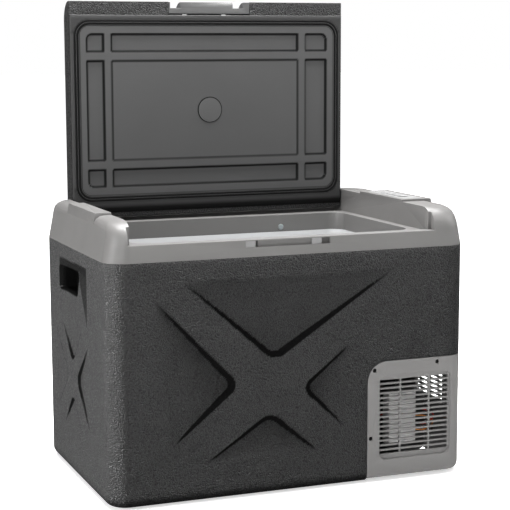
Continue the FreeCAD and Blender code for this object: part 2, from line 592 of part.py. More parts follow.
cover_left = "machine_left + cover_gap"
cover_top = "machine_top - cover_gap"
cover_body = rounded_box("CoverBlank", (cover_left, "width / 2"), ("-depth / 2", "cover_rear"),
                         ("ground_gap", cover_top), "corner", pick=corner_edge)
cover_outline = prism("CoverOutline", "y", ((cover_left, "ground_gap - 1"), ("width / 2 + 1", "ground_gap - 1"),
                                            ("width / 2 + 1", cover_top), (cover_left, cover_top)),
                      "-depth / 2 - 1", "cover_rear + 1", ((3, "cover_round"),))
cover_foot = rounded_box("CoverFoot", HALF_WIDTH, HALF_DEPTH, ("ground_gap", "seam"), "corner",
                         base_radius="base_round")
cover_core = rounded_box("CoverCore", ("machine_left - 5", "width / 2 - cover_wall"),
                         ("-depth / 2 + cover_wall", "cover_rear + 5"), ("0", "machine_top + 5"),
                         "corner - cover_wall", pick=corner_edge)
cover_wall = cut("CoverWall", common("CoverForm", cover_body, cover_outline, cover_foot), cover_core)
grille_back = box("GrilleBack", ("louvre_left - 3", "louvre_right + 3"),
                  ("-depth / 2 + 3", "-depth / 2 + louvre_recess + slat_depth"), ("louvre_low - 3", "louvre_high + 3"))
side_louvre_front, side_louvre_rear, side_louvre_low = "-150", "-31", "117"
side_back = box("SideGrilleBack", ("width / 2 - louvre_recess - slat_depth", "width / 2 - 3"),
                ("-153", "-28"), (side_louvre_low + " - 3", "louvre_high + 3"))
grille_well = rounded_box("GrilleWell", ("louvre_left", "louvre_right"),
                          ("-depth / 2 - 1", "-depth / 2 + louvre_recess"), ("louvre_low", "louvre_high"),
                          "15", axis="y")
side_well = rounded_box("SideWell", ("width / 2 - louvre_recess", "width / 2 + 1"),
                        (side_louvre_front, side_louvre_rear), (side_louvre_low, "louvre_high"), "15", axis="x")
SLOTS = 16
slots = []
for number in range(SLOTS):
    low = "slot_first + %d * slot_pitch" % number
    high = low + " + slot_height"
    for left, right in (("louvre_left + 4", "209.5"), ("212.5", "268.5"), ("271.5", "louvre_right - 4")):
        slots.append(box("Slot", (left, right), ("-depth / 2 - 1", "-depth / 2 + 20"), (low, high)))
    for front, rear in (("-146", "-92"), ("-89", "-35")) if number > 7 else ():
        slots.append(box("SideSlot", ("width / 2 - 20", "width / 2 + 1"), (front, rear), (low, high)))
FRONT_SCREWS = (("156", "210"), ("284", "217"), ("149", "83.5"))
SIDE_SCREWS = (("-110", "212"), ("108", "212"), ("108", "60"))
cover_holes = [rod("CoverHole", "y", (x, "-depth / 2 - 1", z), "4", "4") for x, z in FRONT_SCREWS]
cover_holes += [rod("CoverHole", "x", ("width / 2 - 3", y, z), "4", "4") for y, z in SIDE_SCREWS]
shank_holes = [rod("ShankHole", "y", (x, "-depth / 2 - 1", z), "2", "12") for x, z in FRONT_SCREWS]
shank_holes += [rod("ShankHole", "x", ("width / 2 - 11", y, z), "2", "12") for y, z in SIDE_SCREWS]
cover_full = fuse("CoverFull", cover_wall, grille_back, side_back)
sub_part(cut("VentCover", cover_full, grille_well, side_well, *slots, *cover_holes, *shank_holes), "vent_cover")

screws = []
for x, z in FRONT_SCREWS:
    screws.append(fuse("CoverScrew", rod("ScrewHead", "y", (x, "-depth / 2 + 1.2", z), "3.9", "1.8"),
                       rod("ScrewShank", "y", (x, "-depth / 2 + 2", z), "1.9", "8")))
for y, z in SIDE_SCREWS:
    screws.append(fuse("CoverScrew", rod("ScrewHead", "x", ("width / 2 - 3", y, z), "3.9", "1.8"),
                       rod("ScrewShank", "x", ("width / 2 - 10", y, z), "1.9", "8")))
sub_part(group("CoverScrews", *screws), "vent_cover_screws")

# ---------------------------------------------------------------- controls on the right shoulder
panel_blank = box("PanelBlank", ("280.2", "319.8"), ("-86.8", "71.8"), ("505.5", "plate_top + 0.3"))
display_hole = box("DisplayHole", ("286", "306"), ("-57", "-41"), ("500", "510"))
BUTTONS = (("button_power", -28), ("button_set", -4), ("button_up", 20), ("button_down", 44))
button_holes = [box("ButtonHole", ("290", "306"), (str(y), str(y + 16)), ("500", "510")) for _, y in BUTTONS]
sub_part(cut("ControlPanel", panel_blank, display_hole, *button_holes), "control_panel")
sub_part(box("DisplayWindow", ("286.1", "305.9"), ("-56.9", "-41.1"), ("505", "plate_top")), "display_window")
for label, y in BUTTONS:
    cap = rounded_box(label + "Cap", ("290.3", "305.7"), (str(y + 0.3), str(y + 15.7)),
                      ("503.5", "plate_top + 1"), "3")
    stem = rod(label + "Stem", "z", ("298", str(y + 8), "500.2"), "3", "4")
    sub_part(fuse(label + "Solid", cap, stem), label)
board_parts = [box("Switch", ("294", "302"), (str(y + 4), str(y + 12)), ("497.5", "499.2")) for _, y in BUTTONS]
sub_part(fuse("ControlBoard", box("BoardSheet", ("285", "315"), ("-82", "67"), ("496", "497.6")), *board_parts,
              box("DisplayBlock", ("287", "305"), ("-56", "-42"), ("497", "504.9"))), "control_board")

# Interior lamp in the rear skirt.
sub_part(rod("LampLens", "y", ("lamp_x", "open_rear - 1.5", "lamp_z"), "5.8", "3.5"), "lamp_lens")
sub_part(rod("LampBody", "y", ("lamp_x", "open_rear + 2", "lamp_z"), "5.8", "9"), "lamp_housing")

# ---------------------------------------------------------------- lid, standing open
LID_X = ("bay_left + lid_gap", "bay_right - lid_gap")
lid_left, lid_right = LID_X
LID_CAVITY_X = (lid_left + " + 8.5", lid_right + " - 8.5")
CAVITY_Z = ("486", "846")
lid_blank = prism("LidBlank", "x", (("lid_inner", "lid_low"), ("lid_outer", "lid_low"),
                                    ("lid_outer", "lid_high"), ("lid_inner", "lid_high")),
                  lid_left, lid_right, ((1, "12"), (2, "lid_round")))
lid_cavity = rounded_box("LidCavity", LID_CAVITY_X, ("lid_inner - 1", "lid_outer - lid_wall"), CAVITY_Z,
                         "26", axis="y")
latch_bay = box("LatchBay", ("latch_left - 1", "latch_right + 1"), ("lid_inner - 1", "lid_outer + 1"),
                ("854.5", "lid_high + 1"))
lid_bores = [rod("LidBoreLeft", "x", ("bay_left", "hinge_depth", "hinge_height"), "hinge_pin + running", "13"),
             rod("LidBoreRight", "x", ("bay_right - 13", "hinge_depth", "hinge_height"),
                 "hinge_pin + running", "13")]
pin_bore = rod("LatchPinBore", "x", ("latch_left - 5", "pivot_depth", "pivot_height"), "latch_pin",
               "latch_right - latch_left + 10")
sub_part(cut("LidShell", lid_blank, lid_cavity, latch_bay, pin_bore, *lid_bores), "lid_outer_shell")

panel_flange = box("PanelFlange", (lid_left + " + 1", lid_right + " - 1"), ("panel_face", "lid_inner"),
                   ("panel_low", "panel_high"))
panel_back = rounded_box("PanelBack", LID_CAVITY_X, ("lid_inner - 0.5", "lid_inner + 6"), CAVITY_Z, "26", axis="y")
LEFT_COLUMN, MID_COLUMN, RIGHT_COLUMN = (-267.6, -232.5), (-218, 171), (186.8, 233.5)
LOW_ROW, MID_ROW, HIGH_ROW = (525.5, 560), (577, 769.5), (786, 821)


def pocket(name, lines, heights):
    """A shallow recess in the panel; a corner that faces the panel's own corner is rounded."""
    x, z = (str(lines[0]), str(lines[1])), (str(heights[0]), str(heights[1]))
    y = ("panel_face - 1", "panel_face + pocket_depth")
    end_column, end_row = lines is not MID_COLUMN, heights is not MID_ROW
    if not (end_column and end_row):
        return box(name, x, y, z)
    corner_x = min(lines) if lines is LEFT_COLUMN else max(lines)
    corner_z = min(heights) if heights is LOW_ROW else max(heights)
    return rounded_box(name, x, y, z, "pocket_round", axis="y",
                       pick=lambda p: abs(p.x - corner_x) < 1 and abs(p.z - corner_z) < 1)


pockets = []
for column, lines in (("L", LEFT_COLUMN), ("M", MID_COLUMN), ("R", RIGHT_COLUMN)):
    for level, heights in (("Low", LOW_ROW), ("Mid", MID_ROW), ("High", HIGH_ROW)):
        if column == "M" and level == "Mid":
            continue
        pockets.append(pocket("Pocket" + column + level, lines, heights))
gasket_x = (lid_left + " + 7", lid_right + " - 7")


def gasket_ring(name, slack, face, back):
    """A rounded frame on the panel; slack widens it on both sides for the groove."""
    rings = []
    for suffix, inset, over in (("Outer", "(-%s)" % slack, "0"), ("Inner", "(gasket_width + %s)" % slack, "1")):
        rings.append(rounded_box(name + suffix, (gasket_x[0] + " + " + inset, gasket_x[1] + " - " + inset),
                                 (face + " - " + over, back + " + " + over),
                                 ("gasket_low + " + inset, "gasket_high - " + inset),
                                 "gasket_corner - " + inset, axis="y"))
    return cut(name, *rings)


groove = gasket_ring("GasketGroove", "0.2", "panel_face - 1", "panel_face + 2")
cap_x, cap_z = "(bay_left + bay_right) / 2 - 1.8", "672"
cap_seat = rod("CapSeat", "y", (cap_x, "panel_face - 1", cap_z), "25.8", "3.5")
sub_part(cut("LidPanel", fuse("LidPanelSolid", panel_flange, panel_back), groove, cap_seat, *pockets),
         "lid_inner_panel")
sub_part(gasket_ring("Gasket", "0", "gasket_face", "panel_face + 2"), "lid_gasket")
sub_part(rod("CentreCap", "y", (cap_x, "panel_face - 0.8", cap_z), "25.5", "3.3"), "lid_centre_cap")
sub_part(rounded_box("LidFoam", LID_CAVITY_X, ("lid_inner + 6", "lid_outer - lid_wall"), CAVITY_Z, "26", axis="y"),
         "lid_foam")

# ---------------------------------------------------------------- latch bar
latch_form = prism("LatchForm", "x", (("lid_inner + 0.5", "840"), ("lid_outer - 0.5", "840"),
                                      ("lid_outer - 0.5", "lid_high - 0.6"),
                                      ("lid_inner + 0.5", "lid_high - 0.6")),
                   "latch_left", "latch_right", ((2, "lid_round - 0.5"),))
latch_block = common("LatchBlock", latch_form,
                     box("LatchReach", ("latch_left - 1", "latch_right + 1"), ("lid_inner", "lid_outer"),
                         ("latch_low", "lid_high")))
latch_barrel = rod("LatchBarrel", "x", ("latch_left", "pivot_depth", "pivot_height"), "barrel",
                   "latch_right - latch_left")
latch_cuts = [box("LatchNotch", (left, right), ("lid_inner - 1", "lid_outer + 1"), ("870", "lid_high + 1"))
              for left, right in (("-97", "-76"), ("33", "55"))]
latch_cuts.append(rod("LatchBore", "x", ("latch_left - 1", "pivot_depth", "pivot_height"), "latch_pin + running",
                      "latch_right - latch_left + 2"))
latch_cuts.append(box("LatchHollow", ("latch_left + 30", "latch_right - 40"), ("lid_inner + 4", "195"),
                      ("latch_low - 1", "874")))
SPRING_SPOTS = ("-64", "18")
latch_cuts += [rod("SpringGap", "x", (x, "pivot_depth", "pivot_height"), "barrel + 1.5", "12") for x in SPRING_SPOTS]
sub_part(cut("LatchBar", fuse("LatchSolid", latch_block, latch_barrel), *latch_cuts), "latch_bar")
sub_part(rod("LatchPin", "x", ("latch_left - 5", "pivot_depth", "pivot_height"), "latch_pin",
             "latch_right - latch_left + 10"), "latch_pin")
sub_part(group("LatchSprings", *[
    cut("LatchSpring", rod("SpringBody", "x", (x + " + 1", "pivot_depth", "pivot_height"), "4.2", "10"),
        rod("SpringBore", "x", (x, "pivot_depth", "pivot_height"), "latch_pin + 0.3", "12"))
    for x in SPRING_SPOTS]), "latch_springs")

# ---------------------------------------------------------------- checks and export
doc.recompute()
faults = []
for obj in doc.Objects:
    if "Invalid" in obj.State or "Error" in obj.State:
        faults.append("%s: %s" % (obj.Name, obj.State))
for label, obj in nodes.items():
    shape = obj.Shape
    if shape.isNull() or not shape.isValid() or shape.Volume < 1.0:
        faults.append("%s: empty or not valid" % label)
if faults:
    raise RuntimeError("\n".join(faults))
os.makedirs("parts", exist_ok=True)
for label, obj in nodes.items():
    obj.Shape.exportStep("parts/%s.step" % label)
    print("%-28s %2d solids %12.0f mm3" % (label, len(obj.Shape.Solids), obj.Shape.Volume))
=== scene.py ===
import bmesh
import bpy
import math
import numpy as np
from mathutils import Matrix, Vector


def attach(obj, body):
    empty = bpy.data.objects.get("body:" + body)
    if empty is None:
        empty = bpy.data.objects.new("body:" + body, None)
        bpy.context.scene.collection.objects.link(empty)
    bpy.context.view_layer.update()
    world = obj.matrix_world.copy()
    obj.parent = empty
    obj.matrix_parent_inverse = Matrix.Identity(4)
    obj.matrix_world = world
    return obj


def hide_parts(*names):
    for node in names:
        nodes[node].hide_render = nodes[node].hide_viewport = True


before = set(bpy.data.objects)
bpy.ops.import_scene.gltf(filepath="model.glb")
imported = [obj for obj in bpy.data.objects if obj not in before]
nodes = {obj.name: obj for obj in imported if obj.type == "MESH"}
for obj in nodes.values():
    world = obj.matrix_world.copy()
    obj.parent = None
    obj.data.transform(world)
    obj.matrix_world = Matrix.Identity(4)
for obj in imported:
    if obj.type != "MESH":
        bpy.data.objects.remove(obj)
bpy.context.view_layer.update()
MM = 0.001

# ------------------------ outer shell
# The four walls and the floor are one rotation moulding in black polyethylene with a pebbled grain.
# Four shallow panels sink in towards the crossing of a large X, and hooded hollows frame the grips.
# The top frame closes it above; the corner by the machine bay is left open for the vent cover.


class Shade:
    """A shader socket that arithmetic extends: an expression on it adds the nodes that work it out."""

    def __init__(self, tree, socket=None):
        self.tree = tree
        self.socket = socket

    def node(self, kind, settings=None, sockets=None, out=0):
        """A node of any type: its settings are made first, then its sockets take values or links."""
        made = self.tree.nodes.new("ShaderNode" + kind)
        for name, setting in (settings or {}).items():
            setattr(made, name, setting)
        for name, given in (sockets or {}).items():
            if isinstance(given, Shade):
                self.tree.links.new(given.socket, made.inputs[name])
            else:
                made.inputs[name].default_value = given
        return Shade(self.tree, made.outputs[out])

    def math(self, operation, first, second):
        """One Math node on two values."""
        return self.node("Math", {"operation": operation}, {0: first, 1: second})

    def __add__(self, other):
        return self.math("ADD", self, other)

    def __sub__(self, other):
        return self.math("SUBTRACT", self, other)

    def __rsub__(self, other):
        return self.math("SUBTRACT", other, self)

    def __mul__(self, other):
        return self.math("MULTIPLY", self, other)

    def __pow__(self, other):
        return self.math("POWER", self, other)

    __radd__ = __add__
    __rmul__ = __mul__

    def held(self, low=0.0, high=1.0):
        """The value stretched from low..high to 0..1 and held there."""
        return self.node("MapRange", {"clamp": True}, {0: self, 1: low, 2: high, 3: 0.0, 4: 1.0})

    def blend(self, first, second):
        """The first colour where this value is 0, the second where it is 1."""
        return self.node("Mix", {"data_type": "RGBA"}, {0: self, 6: first, 7: second}, out=2)

    def noise(self, size, detail=2.0, roughness=0.5):
        """Cloudy noise at these coordinates whose lumps are about size millimetres."""
        return self.node("TexNoise", {}, {"Vector": self, "Scale": 1000.0 / size, "Detail": detail,
                                          "Roughness": roughness})

    def stretched(self, x, y, z):
        """Coordinates stretched along each axis."""
        return self.node("VectorMath", {"operation": "MULTIPLY"}, {0: self, 1: (x, y, z)})

    def bumped(self, depth, strength=1.0):
        """The surface direction where this value stands up by depth millimetres."""
        return self.node("Bump", {}, {"Height": self, "Distance": depth * MM, "Strength": strength})


def grey(level, warmth=0.0):
    """A nearly neutral colour from its 0..255 screen level, with red raised and blue lowered by warmth."""
    screen = np.array([level + warmth, level, level - warmth]) / 255.0
    linear = np.where(screen > 0.04045, ((screen + 0.055) / 1.055) ** 2.4, screen / 12.92)
    return (*[float(part) for part in linear], 1.0)


def new_finish(name, **sockets):
    """A material whose shader sockets are set; returned with its shader and its object coordinates."""
    material = bpy.data.materials.new(name)
    material.use_nodes = True
    shader = material.node_tree.nodes["Principled BSDF"]
    for socket, setting in sockets.items():
        shader.inputs[socket.replace("_", " ")].default_value = setting
    place = Shade(material.node_tree).node("TexCoord", out="Object")
    return material, shader, place


def feed(shader, socket, shade):
    """Join a worked-out value to one of the shader's sockets."""
    shade.tree.links.new(shade.socket, shader.inputs[socket])


# The black of the painted shade laid into creases, hollows and edges.
PAINTED_SHADE_BLACK = (0.002, 0.002, 0.002, 1.0)


def shadowed(material, amount):
    """Mixes a dead black into a finish by the mesh's painted shade mark: painted shade in creases, hollows
    and edges.
    """
    tree = material.node_tree
    shade_mark = Shade(tree).node("Attribute", {"attribute_name": "painted_shade"}, out="Fac")
    shade_shader = tree.nodes.new("ShaderNodeBsdfDiffuse")
    shade_shader.inputs["Color"].default_value = PAINTED_SHADE_BLACK
    both = tree.nodes.new("ShaderNodeMixShader")
    tree.links.new((shade_mark * amount).socket, both.inputs[0])
    tree.links.new(tree.nodes["Principled BSDF"].outputs[0], both.inputs[1])
    tree.links.new(shade_shader.outputs[0], both.inputs[2])
    tree.links.new(both.outputs[0], tree.nodes["Material Output"].inputs["Surface"])


# Painted shade darkens the pebbles' valleys and painted highlight lightens their crowns.
VALLEY_SHADE, CROWN_HIGHLIGHT = 0.12, 3.4


def pebble_plastic(name, colour, pebble, depth):
    """Black polyethylene: round pebbles with narrow valleys between, glossier on their tops.

    Smooth Voronoi cells about pebble millimetres wide, their places swayed by noise, are mixed with
    a finer cloud; the sum sets the gloss and the height, and the tone as painted shade in the valleys
    and painted highlight on the crowns, under a slow clouding of the plastic's own tone."""
    material, shader, place = new_finish(name, Specular_IOR_Level=0.45)
    sway = place.node("TexNoise", {}, {"Vector": place, "Scale": 450.0 / pebble}, out=1)
    swayed = place.node("VectorMath", {"operation": "MULTIPLY_ADD"},
                        {0: sway, 1: (0.8 * pebble * MM,) * 3, 2: place})
    cell = swayed.node("TexVoronoi", {"feature": "SMOOTH_F1"},
                       {"Vector": swayed, "Scale": 1000.0 / pebble, "Smoothness": 0.3})
    top = 1.0 - cell.held(0.1, 0.7)
    fine = place.noise(0.9, 3.0)
    cloud = place.noise(42.0, 3.0).held(0.3, 0.7)
    speck = place.noise(pebble * 0.75, 1.5).held(0.4, 0.6)
    shade_and_highlight = top * 0.4 + speck * 0.6
    # Painted shade in the valleys and painted highlight on the crowns, following the pebbles' height.
    valley_shade = tuple(part * VALLEY_SHADE for part in colour[:3]) + (1.0,)
    crown_highlight = tuple(min(1.0, part * CROWN_HIGHLIGHT) for part in colour[:3]) + (1.0,)
    feed(shader, "Base Color", (shade_and_highlight ** 1.3 * (0.75 + cloud * 0.25)).blend(valley_shade, crown_highlight))
    feed(shader, "Roughness", 0.56 - speck * 0.24 - cloud * 0.05 + fine * 0.06)
    feed(shader, "Normal", (top * 0.6 + speck * 0.9 + fine * 0.2).bumped(depth * 1.2, 1.0))
    return material


black_pebble = pebble_plastic("black_pebble_plastic", grey(21), 2.9, 1.2)
# Painted shade in the shell's creases and hollows, by its painted shade mark.
shadowed(black_pebble, 0.97)


def placed(name, data):
    """A new object in the scene that holds the data."""
    holder = bpy.data.objects.new(name, data)
    bpy.context.scene.collection.objects.link(holder)
    return holder


def laid(name, material, grid, closed_across=False, closed_along=False, kept=None, lids=(), body="cabinet",
         slot=None, swap=None):
    """A piece from a grid of points (rows, columns, xyz) in millimetres: each four neighbours make a face.

    Closed grids join their last column or row to the first; kept says which faces stay; lids lists
    rows whose ring is closed by one flat face."""
    rows, columns = grid.shape[:2]
    number = np.arange(rows * columns).reshape(rows, columns)
    if closed_along:
        number = np.vstack([number, number[:1]])
    if closed_across:
        number = np.hstack([number, number[:, :1]])
    faces = np.stack([number[:-1, :-1], number[:-1, 1:], number[1:, 1:], number[1:, :-1]], axis=-1)
    if kept is not None:
        faces = faces[kept]
    faces = faces.reshape(-1, 4)
    loops = [list(face) for face in faces.tolist()]
    for row, turned in lids:
        ring = list(range(row * columns, (row + 1) * columns))
        loops.append(ring[::-1] if turned else ring)
    mesh = bpy.data.meshes.new(name)
    mesh.from_pydata((grid.reshape(-1, 3) * MM).tolist(), [], loops)
    mesh.polygons.foreach_set("use_smooth", np.ones(len(loops), bool))
    mesh.update()
    piece = placed(name, mesh)
    mesh.materials.append(material)
    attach(piece, body)
    if swap:
        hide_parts(swap)
    return piece


def store_painted_shade(piece, painted_shade):
    """Stores the painted shade mark, 0 to 1, for each point of a piece's mesh."""
    shade_mark = piece.data.attributes.new("painted_shade", "FLOAT", "POINT")
    shade_mark.data.foreach_set("value", np.clip(painted_shade, 0, 1).reshape(-1).astype(np.float32))


def tidied(piece, spare=0.02):
    """Drops loose points and merges doubles nearer than spare millimetres in a piece's mesh."""
    work = bmesh.new()
    work.from_mesh(piece.data)
    bmesh.ops.remove_doubles(work, verts=work.verts, dist=spare * MM)
    bmesh.ops.delete(work, geom=[v for v in work.verts if not v.link_faces], context="VERTS")
    work.to_mesh(piece.data)
    work.free()
    return piece


# The walls stand HALF_X and HALF_Y out, from the underside at FLOOR up to the frame at SEAM.
HALF_X, HALF_Y, CORNER = 345.0, 221.0, 40.0
FLOOR, BASE, SEAM = 3.0, 16.0, 432.0
# Each sunk panel is a V: one arm's end, the tip and the other arm's end, as (along the wall, up).
FRONT_PANELS = (((-264, 366), (-106, 206), (-234, 104)), ((-209, 394), (-41, 243), (191, 395)),
                ((105, 263), (10, 191), (94, 114)), ((-172, 69), (-48, 153), (44, 71)))
LEFT_PANELS = (((-92, 268), (-4, 192), (-96, 110)), ((-44, 288), (22, 216), (86, 284)),
               ((140, 268), (50, 190), (138, 112)), ((-40, 92), (22, 160), (84, 92)))
FRONT_SUNK, BACK_SUNK, LEFT_SUNK = 9.0, 3.0, 4.5
TIP_ROUND = 22.0
WALL_SLOPE = 0.85
FLOOR_BEND = 0.8


def lines_of(low, high, spots, coarse, fine):
    """Grid lines from low to high: fine within the (low, high) spans listed, coarse elsewhere."""
    edges = sorted({low, high, *[edge for span in spots for edge in span]})
    runs = []
    for start, end in zip(edges, edges[1:]):
        middle = (start + end) / 2
        step = fine if any(a < middle < b for a, b in spots) else coarse
        runs.append(np.linspace(start, end, max(2, int(round((end - start) / step)) + 1))[:-1])
    return np.append(np.concatenate(runs), high)


def rounded_gap(first, second, radius):
    """How far inside a corner between two walls a point is, the corner rounded by radius."""
    sharp = np.minimum(first, second)
    curve = radius - np.hypot(np.maximum(radius - first, 0), np.maximum(radius - second, 0))
    return np.where((first < radius) & (second < radius), curve, sharp)


def panel_walls(u, v, panel, sunk):
    """For one sunk panel: how far inside its two arms a point is, and how deep the panel's floor runs.

    The floor goes down from the line joining the arms' ends to the tip, where it is sunk deep."""
    start, tip, end = [np.array(spot, float) for spot in panel]

    def inside(a, b, other):
        """How far a point is from the line a to b on the side of other, and how far other itself is."""
        across = np.array([a[1] - b[1], b[0] - a[0]])
        across /= np.hypot(*across)
        across *= np.sign((other - a) @ across)
        return (u - a[0]) * across[0] + (v - a[1]) * across[1], (other - a) @ across
    arm = rounded_gap(inside(start, tip, end)[0], inside(end, tip, start)[0], TIP_ROUND)
    from_base, full = inside(start, end, tip)
    return arm, sunk * np.clip(from_base / full, 0, None) ** FLOOR_BEND


def hole_gap(u, v, box, radius):
    """How far inside a rectangle with rounded corners a point is; below nought it is outside."""
    centre = ((box[0] + box[1]) / 2, (box[2] + box[3]) / 2)
    reach_u = (box[1] - box[0]) / 2 - radius
    reach_v = (box[3] - box[2]) / 2 - radius
    over_u = np.abs(u - centre[0]) - reach_u
    over_v = np.abs(v - centre[1]) - reach_v
    outside = np.hypot(np.maximum(over_u, 0), np.maximum(over_v, 0))
    return radius - outside - np.minimum(np.maximum(over_u, over_v), 0)


def drawn_to(line, u, v, reach):
    """Moves the grid's points that are nearer than reach to a line, given as a signed gap, onto it."""
    nudge = 0.05
    gap = line(u, v)
    slope_u = (line(u + nudge, v) - line(u - nudge, v)) / (2 * nudge)
    slope_v = (line(u, v + nudge) - line(u, v - nudge)) / (2 * nudge)
    steep = np.maximum(slope_u ** 2 + slope_v ** 2, 0.25)
    move = np.where(np.abs(gap) < reach, gap / steep, 0.0)
    return u - move * slope_u, v - move * slope_v


# The grip hole and the machine bay's opening, as (front, rear, low, high) or their single edges.
GRIP, GRIP_ROUND, GRIP_LIP = (-5.0, 109.0, 345.0, 390.0), 8.0, 11.4
BAY_LEFT, BAY_TOP, BAY_REAR, BAY_ROUND = 140.5, 227.0, 121.0, 39.0
BAY_SEAT = 7.0


def grip_gap(u, v):
    """How far inside the grip hole a point of a side wall is."""
    return hole_gap(u, v, GRIP, GRIP_ROUND)


def bay_gap_front(u, v):
    """How far inside the machine bay's opening a point of the front wall is; one corner is round."""
    return rounded_gap(u - BAY_LEFT, BAY_TOP - v, BAY_ROUND)


def bay_gap_side(u, v):
    """The same on the right wall, where it ends square behind."""
    return np.minimum(BAY_REAR - u, BAY_TOP - v)


SCOOP_FOOT, SCOOP_RISE, SCOOP_SUNK = 300.0, 76.0, 8.0
HOOD_TOP, HOOD_SLOPE = 408.0, 0.55
RAMP_FRONT, RAMP_SLOPE = -86.0, 0.1
SCOOP_REAR, REAR_SLOPE = 110.0, 0.12


def scoop_floor(v):
    """The depth of the grip's hollow by height alone: nought at its foot, full near the hole."""
    return SCOOP_SUNK * np.clip((v - SCOOP_FOOT) / SCOOP_RISE, 0, 1)


def scoop_depth(u, v):
    """The hollow round a grip: the least of its floor, its hood above and its ramps before and behind."""
    hood = (HOOD_TOP - v) * HOOD_SLOPE
    ramps = np.minimum((u - RAMP_FRONT) * RAMP_SLOPE, (SCOOP_REAR - u) * REAR_SLOPE)
    return np.clip(np.minimum(np.minimum(scoop_floor(v), hood), ramps), 0, None)


# Around the wall: front, right, back and left runs joined by quarter turns, each with its own lines.
WALL_X, WALL_Y = HALF_X - CORNER, HALF_Y - CORNER
front_x = lines_of(-WALL_X, WALL_X, [(-272, 204), (BAY_LEFT - 4, BAY_LEFT + 44)], 9.0, 2.5)
left_y = lines_of(-WALL_Y, WALL_Y, [(-106, 150)], 9.0, 2.6)
right_y = lines_of(-WALL_Y, WALL_Y, [(-60, 132)], 9.0, 3.0)
back_x = lines_of(-WALL_X, WALL_X, [(-200, 270)], 9.0, 4.2)
heights = lines_of(FLOOR + BASE, SEAM, [(60, 412)], 8.0, 2.5)
FRONT, RIGHT, BACK, LEFT, TURN = range(5)
corner_turn = np.linspace(0, math.pi / 2, 13)[1:-1]
outline, facing, side_of = [], [], []
for side, run, normal, corner in ((FRONT, front_x, (0, -1), (WALL_X, -WALL_Y)),
                                  (RIGHT, right_y, (1, 0), (WALL_X, WALL_Y)),
                                  (BACK, -back_x, (0, 1), (-WALL_X, WALL_Y)),
                                  (LEFT, left_y[::-1], (-1, 0), (-WALL_X, -WALL_Y))):
    stand = np.full_like(run, normal[0] * HALF_X + normal[1] * HALF_Y)
    outline.append(np.stack([run, stand] if side in (FRONT, BACK) else [stand, run], 1))
    facing.append(np.tile(np.array(normal, float), (len(run), 1)))
    side_of.append(np.full(len(run), side))
    start = math.atan2(normal[1], normal[0])
    bend = np.stack([np.cos(start + corner_turn), np.sin(start + corner_turn)], 1)
    outline.append(np.array(corner) + CORNER * bend)
    facing.append(bend)
    side_of.append(np.full(len(corner_turn), TURN))
outline, facing, side_of = np.concatenate(outline), np.concatenate(facing), np.concatenate(side_of)

# Up the wall: in under the floor, round the base, up to the seam and over its lip.
LIP_EASE, LIP_WALL, LIP_DROP = 0.8, 3.5, 8.0
base_turn = np.linspace(0, math.pi / 2, 8)[:-1]
inset = np.concatenate([[CORNER - 0.5, 28.0], BASE - BASE * np.sin(base_turn), np.zeros(len(heights)),
                        [LIP_EASE, LIP_WALL, LIP_WALL]])
level = np.concatenate([[FLOOR, FLOOR], FLOOR + BASE - BASE * np.cos(base_turn), heights,
                        [SEAM, SEAM, SEAM - LIP_DROP]])
wall_foot = 2 + len(base_turn)
wall_top = wall_foot + len(heights) - 1
level[wall_top] = SEAM - LIP_EASE
wall_rows = np.arange(wall_foot - 1, wall_top + 1)
spot_x = outline[None, :, 0] - facing[None, :, 0] * inset[:, None]
spot_y = outline[None, :, 1] - facing[None, :, 1] * inset[:, None]
spot_z = np.repeat(level[:, None], len(outline), 1)
sink, painted_shade, gone = np.zeros_like(spot_z), np.zeros_like(spot_z), np.zeros_like(spot_z)
